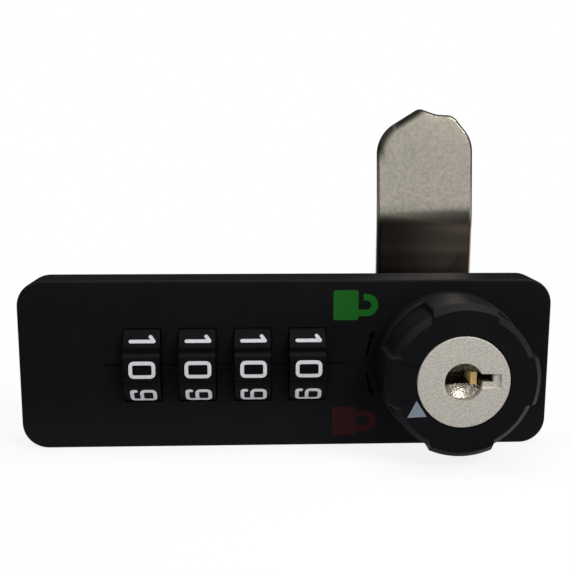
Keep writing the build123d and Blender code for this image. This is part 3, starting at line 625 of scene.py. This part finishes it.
def soften(piece, width, angle=28, segments=3):
    """Rounds every sharp edge a little, as moulding, casting and stamping do."""
    only(piece)
    bpy.ops.object.shade_smooth()
    step = piece.modifiers.new("soften", "BEVEL")
    step.width = width * MM
    step.segments = segments
    step.limit_method = "ANGLE"
    step.angle_limit = radians(angle)
    step.miter_outer = "MITER_ARC"
    step.use_clamp_overlap = True
    step.harden_normals = True
    bpy.ops.object.modifier_apply(modifier=step.name)


def clean(piece, distance=0.002):
    """Merges points that fell together and turns every face outwards."""
    only(piece)
    mode("EDIT")
    bpy.ops.mesh.select_mode(type="VERT")
    bpy.ops.mesh.select_all(action="SELECT")
    bpy.ops.mesh.remove_doubles(threshold=distance * MM)
    bpy.ops.mesh.normals_make_consistent(inside=False)
    bpy.ops.mesh.select_all(action="DESELECT")
    mode("OBJECT")


def joined(pieces):
    """Makes one object of several, which keeps the name and the settings of the first."""
    bpy.ops.object.select_all(action="DESELECT")
    for piece in pieces:
        piece.select_set(True)
    bpy.context.view_layer.objects.active = pieces[0]
    bpy.ops.object.join()
    return pieces[0]


def upright_edge(a, b):
    """True for an edge that runs along Y, through the thickness of the case."""
    return abs(a.x - b.x) < 0.01 and abs(a.z - b.z) < 0.01


def edge_at(y):
    """A rule that picks the edges at this depth."""
    return lambda a, b: abs(a.y - y) < 0.01 and abs(b.y - y) < 0.01


def finish_piece(piece, material, body, slot, *stands_for):
    """Paints a piece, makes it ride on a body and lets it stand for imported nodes."""
    piece.data.materials.clear()
    piece.data.materials.append(material)
    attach(piece, body)
    if stands_for:
        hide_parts(*stands_for)
    print(piece.name, "faces", len(piece.data.polygons))


# %% [markdown]
# ## The case
# The real case is a die-casting with a hard black coat: a long box with round corners and a soft front
# edge. It could be drawn as a flat outline and thickened, but a cube with bevelled edges gives the same
# shape in two steps, with even corners. The hollow, the windows and the groove are then cut from it with
# blocks and round bars, as a milling cutter would do.
# %% Case
case_corner, front_round = 5.6, 0.55
end_block = 11.4
wall = 2.0
window_side_gap, window_round_gap = 0.2, 0.25
insert_to_end, insert_radius, insert_depth = 7, 2.8, 6.5
neck_hole_radius = 9.05
case = slab("lock_case", case_low, case_high)
round_edges(case, upright_edge, case_corner, 14)
round_edges(case, edge_at(face_y), front_round, 4)
hollow = slab(
    "hollow",
    (case_low.x + end_block, face_y + wall, case_low.z + wall),
    (case_high.x - end_block, 1, case_high.z - wall),
)
round_edges(hollow, upright_edge, case_corner - wall, 8)
carve(case, hollow)
window_half = dial_width / 2 + window_side_gap
window_radius = dial_radius + window_round_gap
for centre in dial_centres:
    sides_x = (centre.x - window_half, centre.x + window_half)
    carve(case, rolled("window", window_radius, sides_x, (centre.y, 0)))
carve(case, turned("neck_hole", neck_hole_radius, (face_y - 1, face_y + wall + 1)))
for x in (case_low.x + insert_to_end, case_high.x - insert_to_end):
    carve(case, turned("insert_hole", insert_radius, (-insert_depth, 1), (x, 0), 96))
print("case faces", len(case.data.polygons))

# %% [markdown]
# The reading groove crosses the four windows. Its cutter is a bar with round ends, sunk a seventh of a
# millimetre into the face. So shallow a cut throws hardly any shadow, and the dark line of the photograph
# is held by a narrow slit along the groove's upper edge. After the cuts the window
# edges are still as sharp as a knife, so the edges that lie in the front face are picked by their place
# and rounded by a hair, which is what catches the light in the photograph.
# %% Groove and window edges
groove_middle, groove_half, groove_depth = -0.55, 0.8, 0.14
past_left, past_right = 5.0, 5.2
slit_end_gap, slit_bottom, slit_top, slit_depth = 0.5, 0.3, 0.02, 0.6
groove_low = (dial_centres[0].x - window_half - past_left, face_y - 1, groove_middle - groove_half)
groove_high = (
    dial_centres[3].x + window_half + past_right, face_y + groove_depth, groove_middle + groove_half
)
groove = slab("groove", groove_low, groove_high)
round_edges(groove, upright_edge, groove_half - 0.01, 8)
carve(case, groove)
slit_low = (groove_low[0] + slit_end_gap, face_y - 1, groove_high[2] - slit_bottom)
slit_high = (groove_high[0] - slit_end_gap, face_y + slit_depth, groove_high[2] - slit_top)
carve(case, slab("shadow_slit", slit_low, slit_high))
clean(case)
mouth_half = (window_radius**2 - (dial_centres[0].y - face_y) ** 2) ** 0.5


def on_window_edge(a, b):
    """True for an edge of the front face that bounds a window."""
    if not edge_at(face_y)(a, b):
        return False
    for centre in dial_centres:
        from_middle = [abs(end.x - centre.x) for end in (a, b)]
        at_side = abs(a.x - b.x) < 0.01 and abs(from_middle[0] - window_half) < 0.01
        at_mouth = abs(a.z - b.z) < 0.01 and abs(abs(a.z) - mouth_half) < 0.05
        if (at_side and abs(a.z) < mouth_half + 0.1) or (at_mouth and max(from_middle) < window_half + 0.01):
            return True
    return False


round_edges(case, on_window_edge, 0.16, 2)
only(case)
bpy.ops.object.shade_smooth_by_angle(angle=radians(30))
finish_piece(case, case_black, "case", "case_black", "front_case")

# %% [markdown]
# ## Printed padlocks and pointer
# The two padlocks and the knob's pointer are thin prints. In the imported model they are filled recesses,
# level with the surface. Copies of them stand two hundredths of a millimetre proud here, so that the ink
# lies on the coat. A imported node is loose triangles, so the copy's points are merged before its front
# face is moved.
# %% Prints


def copy_of(node, name):
    """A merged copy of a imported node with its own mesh, free to be changed."""
    only(nodes[node])
    bpy.ops.object.duplicate()
    piece = bpy.context.object
    piece.name = name
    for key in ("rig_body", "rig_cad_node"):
        if key in piece:
            del piece[key]
    bpy.ops.object.parent_clear(type="CLEAR_KEEP_TRANSFORM")
    clean(piece)
    return piece


def lift_front(piece, y, lift):
    """Moves the faces that lie at this depth towards the viewer."""
    pick_faces(piece, lambda centre, normal: abs(centre.y - y) < 0.01)
    bpy.ops.transform.translate(value=(0, -lift * MM, 0))
    mode("OBJECT")


for node, name, paint, body, y in (
    ("icon_open_print", "open_padlock", print_green, "case", face_y),
    ("icon_locked_print", "closed_padlock", print_red, "case", face_y),
    ("pointer_mark", "knob_pointer", pointer_grey, "knob_assembly", knob_face_y),
):
    print_piece = copy_of(node, name)
    lift_front(print_piece, y, 0.02)
    finish_piece(print_piece, paint, body, slot_of[node], node)

# %% [markdown]
# ## The turn arrow
# Beside the knob a thin curved arrow with two heads is printed in a deeper black than the case's. Each half
# of it is a flat grid, twelve faces long and one wide, whose points are laid along an arc. The heads are
# triangles at the ends, and all of it gets the thickness of a coat of ink.
# %% Turn arrow
arrow_radius, arrow_width, head_half, ink_depth = 17.9, 0.42, 0.75, 0.02


def on_face(radius, angle):
    """A point just in front of the case, by its distance from the knob's axis and its angle."""
    return Vector((radius * cos(radians(angle)), face_y - ink_depth, radius * sin(radians(angle)))) * MM


parts = []
for start, end in ((160, 174), (187, 199)):
    bpy.ops.mesh.primitive_grid_add(x_subdivisions=12, y_subdivisions=1, size=1)
    arc = bpy.context.object
    for point in arc.data.vertices:
        angle = start + (end - start) * (point.co.x + 0.5)
        point.co = on_face(arrow_radius + arrow_width * point.co.y, angle)
    parts.append(arc)
for tip, base in ((155.5, 160.5), (204, 198.5)):
    bpy.ops.mesh.primitive_circle_add(vertices=3, radius=1, fill_type="NGON")
    head = bpy.context.object
    for point, (angle, aside) in zip(head.data.vertices, ((tip, 0), (base, -head_half), (base, head_half))):
        point.co = on_face(arrow_radius + aside, angle)
    parts.append(head)
joined(parts)
arrow = settle("turn_arrow")
thick = arrow.modifiers.new("thick", "SOLIDIFY")
thick.thickness = ink_depth * MM
thick.offset = 0
bpy.ops.object.modifier_apply(modifier=thick.name)
clean(arrow, 0.0005)
finish_piece(arrow, arrow_black, "case", "case_black")

# %% [markdown]
# ## The outline of the knob's grip
# Seen from the front, the grip is a round waist with four lobes, the round ends of two crossed bars. An
# outline like this is easiest as a list of points that always has the same number of points, in the same
# order: then the outline at the face and the wider one behind the chamfer belong together point by point,
# and a round bar with as many sides can simply be pulled into shape.
# %% Grip outline
lobe_radius = 16.2
waist_radius = 15.25
lobe_halves = {0: 5.05, 90: 6.65, 180: 5.05, 270: 6.65}
tip_round = 0.4
root_round = 1.0


def arc_of(centre, radius, start, end, count):
    """Points along an arc, its two ends included, for angles in degrees."""
    spread = [start + (end - start) * i / (count - 1) for i in range(count)]
    return [(centre[0] + radius * cos(radians(a)), centre[1] + radius * sin(radians(a))) for a in spread]


def half_lobe(half, lobe, waist, rounded):
    """From a lobe's middle to where the waist begins, in the lobe's own frame: along it and across."""
    tip_centre = (((lobe - tip_round) ** 2 - (half - tip_round) ** 2) ** 0.5, half - tip_round)
    tip_start = degrees(atan2(tip_centre[1], tip_centre[0]))
    points = arc_of((0, 0), lobe, 0, tip_start, 9)
    points += arc_of(tip_centre, tip_round, tip_start, 90, 4)[1:]
    corner = degrees(asin(half / waist))
    if not rounded:
        return points + arc_of((0, 0), waist, corner, corner + 3, 6)
    root_centre = (((waist + root_round) ** 2 - (half + root_round) ** 2) ** 0.5, half + root_round)
    back = degrees(atan2(root_centre[1], root_centre[0])) - 180
    return points + arc_of(root_centre, root_round, -90, back, 6)


def grip_outline(lobe, waist, rounded):
    """The whole outline, anticlockwise from the middle of the right-hand lobe."""
    halves = {middle: half_lobe(half, lobe, waist, rounded) for middle, half in lobe_halves.items()}
    outline = []
    for middle in (0, 90, 180, 270):
        ahead = halves[middle]
        following = [(u, -v) for u, v in reversed(halves[(middle + 90) % 360])]
        from_angle = degrees(atan2(ahead[-1][1], ahead[-1][0]))
        to_angle = 90 + degrees(atan2(following[0][1], following[0][0]))
        between = arc_of((0, 0), waist, from_angle, to_angle, 14)[1:-1]
        turned_next = [(-v, u) for u, v in following]
        for u, v in ahead + between + turned_next[:-1]:
            c, s = cos(radians(middle)), sin(radians(middle))
            outline.append((u * c - v * s, u * s + v * c))
    return outline


print("points in the grip's outline:", len(grip_outline(lobe_radius, waist_radius, True)))

# %% [markdown]
# ## The knob
# The knob is moulded, and a turner would make the model for it from round stock. So it starts from a round
# bar, whose rim is drawn in for the chamfer and pulled into the outline. The two side lobes lie a fifth of
# a millimetre lower than the upright ones. The flange and the neck are plain turned parts behind the grip.
# %% Knob
knob_back_y = face_y - 0.3
flange_front = knob_back_y - 4.6
chamfer = 1.3
side_step_angle, side_step, wedge_length = 19.3, 0.22, 20
seat_radius, seat_depth, bore_radius, neck_radius = 9.8, 2.15, 7.1, 9.0
wide_outline = grip_outline(lobe_radius, waist_radius, True)
face_outline = grip_outline(lobe_radius - chamfer, waist_radius - chamfer, False)
count = len(wide_outline)
knob = turned("lock_knob", waist_radius, (knob_face_y + chamfer, flange_front + 0.5), sides=count)
pick_faces(knob, lambda centre, normal: normal.y < -0.9)
bpy.ops.mesh.extrude_region_move(TRANSFORM_OT_translate={"value": (0, -chamfer * MM, 0)})
mode("OBJECT")
first_angle = min(atan2(point.co.z, point.co.x) % (2 * pi) for point in knob.data.vertices)
for point in knob.data.vertices:
    place = round((atan2(point.co.z, point.co.x) % (2 * pi) - first_angle) / (2 * pi) * count) % count
    outline = face_outline if point.co.y < (knob_face_y + 0.5) * MM else wide_outline
    point.co.x, point.co.z = outline[place][0] * MM, outline[place][1] * MM
spread = wedge_length * tan(radians(side_step_angle))
for side in (-1, 1):
    ends = sorted((0, wedge_length * side))
    wedge = slab("side_drop", (ends[0], knob_face_y - 1, -spread), (ends[1], knob_face_y + side_step, spread))
    pick_faces(wedge, lambda centre, normal: normal.x * side < -0.9)
    bpy.ops.transform.resize(value=(1, 1, 0.001))
    mode("OBJECT")
    carve(knob, wedge)
carve(knob, turned("seat", seat_radius, (knob_face_y - 1, knob_face_y + seat_depth)))
carve(knob, turned("bore", bore_radius, (knob_face_y, -5)))
clean(knob)
soften(knob, 0.24, 28, 3)
flange = turned("flange", lobe_radius, (flange_front, knob_back_y), sides=256)
round_edges(flange, edge_at(flange_front), 0.5, 4)
neck = turned("neck", neck_radius, (knob_back_y - 0.5, -5.9))
for part in (flange, neck):
    carve(part, turned("bore", bore_radius, (knob_face_y, -5)))
    clean(part)
    only(part)
    bpy.ops.object.shade_smooth_by_angle(angle=radians(30))
joined([knob, flange, neck])
finish_piece(knob, knob_black, "knob_assembly", "knob_black", "knob")

# %% [markdown]
# ## The key cylinder
# The face of the key cylinder is a blasted nickel disc with a bore for the plug and, to the right of it, a
# shallow step with the key's slot. It is turned first, its rim broken by a small chamfer, and then cut
# with blocks.
# %% Key cylinder
plug_front = knob_face_y + 1.4
step_depth, slot_depth = 0.5, 8
cylinder_radius, body_radius = 9.55, 7.05
plug_radius, head_radius, play = 3.55, 3.93, 0.05
cylinder = turned("key_cylinder", cylinder_radius, (knob_face_y, knob_face_y + seat_depth), sides=256)
round_edges(cylinder, edge_at(knob_face_y), 0.1, 1)
carve(cylinder, turned("body", body_radius, (knob_face_y + 1, knob_face_y + 11.85)), "UNION")
carve(cylinder, turned("plug_bore", plug_radius + play, (knob_face_y - 1, knob_face_y + 13), sides=128))
carve(cylinder, turned("wide_mouth", head_radius + play, (knob_face_y - 1, plug_front + 0.95), sides=128))
carve(cylinder, slab("key_step", (0, knob_face_y - 1, -1.25), (7.7, knob_face_y + step_depth, 1.75)))
carve(cylinder, slab("key_slot", (-1, knob_face_y - 1, -0.1), (6.15, knob_face_y + slot_depth, 1.65)))
clean(cylinder)
soften(cylinder, 0.1, 30, 2)
finish_piece(cylinder, cylinder_nickel, "knob_assembly", "cylinder_nickel", "cylinder_shell")

# %% [markdown]
# The plug sits a little back in its bore, with a wider head in front. The head is dished and bright, so
# that its lower half mirrors the lamps, while the keyway above is deep and, further in, painted dark as
# shade. A ball as the cutter makes the dish and a block the keyway. The lug at the plug's far end is right
# as packed, so a copy of the packed plug is cut off in front of the lug and joined on.
# %% Key plug
dish_radius, dish_middle = 5.6, plug_front - 4.1
lug_front = knob_face_y + 11.9
plug = turned("lock_plug", plug_radius, (plug_front + 0.5, knob_face_y + 12), sides=160)
carve(plug, turned("plug_head", head_radius, (plug_front, plug_front + 0.9), sides=160), "UNION")
bpy.ops.mesh.primitive_uv_sphere_add(
    segments=96, ring_count=48, radius=dish_radius * MM, location=(0, dish_middle * MM, 0)
)
carve(plug, settle("dish"))
carve(plug, slab("keyway", (-3.5, plug_front - 1, -0.95), (4.5, plug_front + 6.6, 1.75)))
clean(plug)
soften(plug, 0.08, 30, 2)
lug = copy_of("key_plug", "plug_lug")
pick_faces(lug, lambda centre, normal: True)
bpy.ops.mesh.bisect(plane_co=(0, lug_front * MM, 0), plane_no=(0, 1, 0), use_fill=True, clear_inner=True)
mode("OBJECT")
joined([plug, lug])
finish_piece(plug, plug_metal, "key_cylinder", "plug_metal", "key_plug")

# %% [markdown]
# Four brass wafers stand in the keyway, one behind the other. Only what the keyway leaves open of them is
# made, so that no end of a wafer shows through the dish.
# %% Wafers
wafer_thickness, wafer_pitch = 0.7, 1.6
wafers = []
for i in range(4):
    start = plug_front + 0.5 + wafer_pitch * i
    wafers.append(slab("wafer", (1.75, start, -0.9), (3.05, start + wafer_thickness, 1.7)))
joined(wafers)
wafers = settle("brass_wafers")
soften(wafers, 0.06, 30, 2)
finish_piece(wafers, wafer_brass, "key_cylinder", "wafer_brass", "plug_wafers")

# %% [markdown]
# ## The dials
# Each dial is a drum with ten flats for the digits and a V-shaped grip notch between each two. One notch
# cutter is a square bar stood on its corner and squashed; ten of them in a ring cut the drum, and the
# finished drum is copied three times. At rest the notches in front stand one degree higher than in the
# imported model. The digit in front, which comes next, stands one degree below the level of the drum's axis.
# %% Dial drums


def on_all_dials(piece, label):
    """The first dial's piece and its copies on the other three dials."""
    pieces = [piece]
    for i in (2, 3, 4):
        only(piece)
        bpy.ops.object.duplicate()
        bpy.context.object.location.x = (dial_centres[i - 1].x - first.x) * MM
        pieces.append(settle(f"dial_{i}_{label}"))
    return pieces


rim, web_depth, sleeve_bore = 2.4, 2.7, 3.25
first = dial_centres[0]
drum_sides = (first.x - dial_width / 2, first.x + dial_width / 2)
drum = rolled("dial_1_drum", dial_radius, drum_sides, (first.y, 0), 240)
for side in (-1, 1):
    pick_faces(drum, lambda centre, normal: normal.x * side > 0.9)
    bpy.ops.mesh.inset(thickness=rim * MM)
    bpy.ops.mesh.extrude_region_move(TRANSFORM_OT_translate={"value": (-side * web_depth * MM, 0, 0)})
    mode("OBJECT")
carve(drum, rolled("sleeve_bore", sleeve_bore, (first.x - 5, first.x + 5), (first.y, 0), 64))
dial_rest_angle = 1.0
notch_half_width = 1.1
notch_depth = 0.55
for i in range(10):
    angle = radians(36 * i + 18 - dial_rest_angle)
    bpy.ops.mesh.primitive_cylinder_add(
        vertices=4, radius=1, depth=(dial_width + 2) * MM, rotation=(0, pi / 2, 0),
        scale=(notch_depth * MM, notch_half_width * MM, 1),
    )
    notch = settle("notch")
    notch.location = Vector((first.x, first.y + dial_radius * cos(angle), dial_radius * sin(angle))) * MM
    notch.rotation_euler = (angle - pi / 2, 0, 0)
    notch = settle("notch")
    carve(drum, notch)
clean(drum)
soften(drum, 0.14, 16, 2)
for i, piece in enumerate(on_all_dials(drum, "drum"), 1):
    finish_piece(piece, dial_black, f"dial_{i}", "dial_black", f"dial_wheel_{i}")

# %% [markdown]
# ## The digits
# The digits are cut with a round cutter and filled with white paint, so every line has the same width and
# round ends. A font would have to be bent to look like that. Instead each digit is a path, rounded at its
# corners, along which a flat ribbon is swept, with a disc at each open end. The ribbons are then pressed
# onto the drum with a Shrinkwrap, and lie on it as thin as paint.
# %% Digit paths
stroke = 0.8
digit_shift = 0.2
w, h = 1.5, 2.46
digit_paths = {
    0: [([(-w, h), (w, h), (w, -h), (-w, -h)], True)],
    1: [([(0.5, -h), (0.5, h)], False), ([(0.45, h), (-0.6, 1.75)], False)],
    2: [([(-w, 1.5), (-w, h), (w, h), (w, 0.5), (-w, -1.5), (-w, -h), (w, -h)], False)],
    3: [([(-w, 1.6), (-w, h), (w, h), (w, 0.1), (-0.5, 0.1)], False),
        ([(-0.5, 0.1), (w, 0.1), (w, -h), (-w, -h), (-w, -1.6)], False)],
    4: [([(0.7, -h), (0.7, h), (-w, -1.1), (w, -1.1)], False)],
    5: [([(w, h), (-w, h), (-w, 0.4), (w, 0.4), (w, -h), (-w, -h), (-w, -1.7)], False)],
    6: [([(-w, 0.35), (w, 0.35), (w, -h), (-w, -h)], True), ([(-w, -1.0), (-w, h), (w, h), (w, 1.6)], False)],
    7: [([(-w, h), (w, h), (-0.4, -h)], False)],
    8: [([(-1.4, h), (1.4, h), (1.4, 0.15), (-1.4, 0.15)], True),
        ([(-w, 0.15), (w, 0.15), (w, -h), (-w, -h)], True)],
    9: [([(-w, h), (w, h), (w, -0.35), (-w, -0.35)], True),
        ([(w, 1.0), (w, -h), (-w, -h), (-w, -1.6)], False)],
}


def rounded_path(points, radius, closed, step=0.35):
    """The same path with its corners rounded and its runs divided."""
    corners = [Vector((x, y)) for x, y in points]
    count = len(corners)
    path = []
    for i, corner in enumerate(corners):
        if not closed and i in (0, count - 1):
            path.append(corner)
            continue
        before, after = corners[i - 1] - corner, corners[(i + 1) % count] - corner
        angle = acos(max(-1, min(1, before.normalized().dot(after.normalized()))))
        cut = min(radius / tan(angle / 2), 0.49 * before.length, 0.49 * after.length)
        start, end = corner + before.normalized() * cut, corner + after.normalized() * cut
        for k in range(7):
            t = k / 6
            path.append(start * (1 - t) ** 2 + corner * 2 * t * (1 - t) + end * t * t)
    dense = []
    pairs = zip(path, path[1:] + path[:1]) if closed else zip(path, path[1:])
    for a, b in pairs:
        parts = max(1, int((b - a).length / step))
        dense += [a + (b - a) * k / parts for k in range(parts)]
    return dense if closed else dense + [path[-1]]


def line_through(name, points, closed=False):
    """A curve that runs straight from point to point, given in millimetres."""
    curve = bpy.data.curves.new(name, "CURVE")
    line = curve.splines.new("POLY")
    line.points.add(len(points) - 1)
    for point, (x, y) in zip(line.points, points):
        point.co = (x * MM, y * MM, 0, 1)
    line.use_cyclic_u = closed
    drawn = bpy.data.objects.new(name, curve)
    scene.collection.objects.link(drawn)
    return drawn


nib = line_through("nib", [(-stroke / 2, 0), (stroke / 2, 0)])
drum_front_y = first.y - dial_radius


def draw_digit(value):
    """One flat digit in front of the first drum, its top towards +X."""
    parts = []
    for points, closed in digit_paths[value]:
        path = rounded_path(points, 0.85, closed)
        ribbon = line_through("line", path, closed)
        ribbon.data.dimensions = "2D"
        ribbon.data.bevel_mode = "OBJECT"
        ribbon.data.bevel_object = nib
        only(ribbon)
        bpy.ops.object.convert(target="MESH")
        parts.append(bpy.context.object)
        if not closed:
            for end in (path[0], path[-1]):
                place = (end.x * MM, end.y * MM, 0)
                bpy.ops.mesh.primitive_circle_add(
                    vertices=24, radius=stroke / 2 * MM, fill_type="NGON", location=place
                )
                parts.append(bpy.context.object)
    digit = joined(parts)
    digit.location = Vector((first.x + digit_shift, drum_front_y - 2, 0)) * MM
    digit.rotation_euler = (pi / 2, pi / 2, 0)
    return settle(f"digit_{value}")


digits = [draw_digit(value) for value in range(10)]
points = digits[0].data.vertices
low, high = ([round(end(p.co[i] for p in points) / MM, 2) for i in range(3)] for end in (min, max))
print("digit 0 from", low, "to", high)

# %% [markdown]
# Each digit is pressed on and turned to its place: digit one sits 36 degrees above digit zero, and so on
# round the drum. The ten are joined into one piece for each dial.
# %% Digits on the drums
press = rolled("press_drum", dial_radius + 0.012, (first.x - 6, first.x + 6), (first.y, 0), 360)
for value, digit in enumerate(digits):
    only(digit)
    wrap = digit.modifiers.new("press", "SHRINKWRAP")
    wrap.wrap_method = "PROJECT"
    wrap.use_project_y = True
    wrap.use_positive_direction = True
    wrap.use_negative_direction = False
    wrap.target = press
    bpy.ops.object.modifier_apply(modifier=wrap.name)
    clean(digit)
    pick_faces(digit, lambda centre, normal: True)
    bpy.ops.transform.translate(value=(0, -first.y * MM, 0))
    mode("OBJECT")
    digit.rotation_euler = (radians(dial_rest_angle - 36 * value), 0, 0)
    digit.location = (0, first.y * MM, 0)
    settle(f"digit_{value}")
bpy.data.objects.remove(press)
bpy.data.objects.remove(nib)
joined(digits)
for i, piece in enumerate(on_all_dials(settle("dial_1_digits"), "digits"), 1):
    finish_piece(piece, digit_white, f"dial_{i}", "dial_black")

# %% [markdown]
# ## The cam
# The cam is a stamped steel strip with a bend, and its edges are rolled over a little. A merged copy of the
# packed cam has the outline and the bend. Cuts across the strip above and below the bend keep its smooth
# shading off the flat runs. Then the edges are softened, and the points whose normal turns away from the
# flat faces are marked as the rim, for the finish to read.
# %% Cam


def flatten_facets(piece, cuts=()):
    """Makes one face of all the triangles that lie in one plane, then cuts across at these heights."""
    only(piece)
    mode("EDIT")
    bpy.ops.mesh.select_all(action="SELECT")
    bpy.ops.mesh.dissolve_limited(angle_limit=radians(1))
    for z in cuts:
        bpy.ops.mesh.select_all(action="SELECT")
        bpy.ops.mesh.bisect(plane_co=(0, 0, z * MM), plane_no=(0, 0, 1))
    mode("OBJECT")


cam = copy_of("cam", "cam_blade")
flatten_facets(cam, (24.0, 27.2, 33.8, 38.0))
soften(cam, 0.3, 40, 3)
cam_rim = cam.data.attributes.new("rim", "FLOAT", "POINT")
for point, value in zip(cam.data.vertices, cam_rim.data):
    value.value = 1.0 if abs(point.normal.y) < 0.93 else 0.0
print("points on the rim:", sum(1 for value in cam_rim.data if value.value > 0))
finish_piece(cam, cam_steel, "knob_assembly", "cam_steel", "cam")

# %% [markdown]
# ## The parts behind
# From behind, the lock shows its housing, the barrel, the washers and the cam's screw. Merged copies with
# smooth shading and soft edges take away the facets. One shape isn't right as packed: in the photograph no
# boss shows above the case to the right of the cam. In the copy of the housing the points of the boss's
# top are therefore moved down.
# %% Parts behind
boss_drop = 2.7


def lower_boss(piece):
    """Moves the top of the boss behind the cam down."""
    for point in piece.data.vertices:
        spot = point.co / MM
        if -0.01 < spot.y < 6.71 and abs(spot.x) < 12.51 and spot.z > 16.1:
            point.co.z -= boss_drop * MM


for node, name, body, width in (
    ("rear_housing", "back_housing", "case", 0.2),
    ("cam_washer", "washer_under_screw", "knob_assembly", 0.1),
    ("cam_screw", "screw_of_cam", "knob_assembly", 0.15),
    ("stop_washer", "washer_with_tab", "knob_assembly", 0.1),
    ("mount_inserts", "threaded_inserts", "case", 0.08),
    ("housing_screws", "screws_of_housing", "case", 0.06),
):
    piece = copy_of(node, name)
    flatten_facets(piece)
    if node == "rear_housing":
        lower_boss(piece)
    soften(piece, width, 40, 2)
    finish_piece(piece, finish_of[node], body, slot_of[node], node)

# %% [markdown]
# ## The bar's return spring
# Inside the case a coil spring pushes the locking bar back. The imported spring has one length, but at the
# end of the knob's turn the bar has come nearer by its stroke and the real coils close up. The copy, with a
# mesh of its own, keeps the imported length.
# %% Return spring
spring = copy_of("bar_spring", "bar_return_spring")
finish_piece(spring, finish_of["bar_spring"], "case", slot_of["bar_spring"], "bar_spring")
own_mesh(spring)
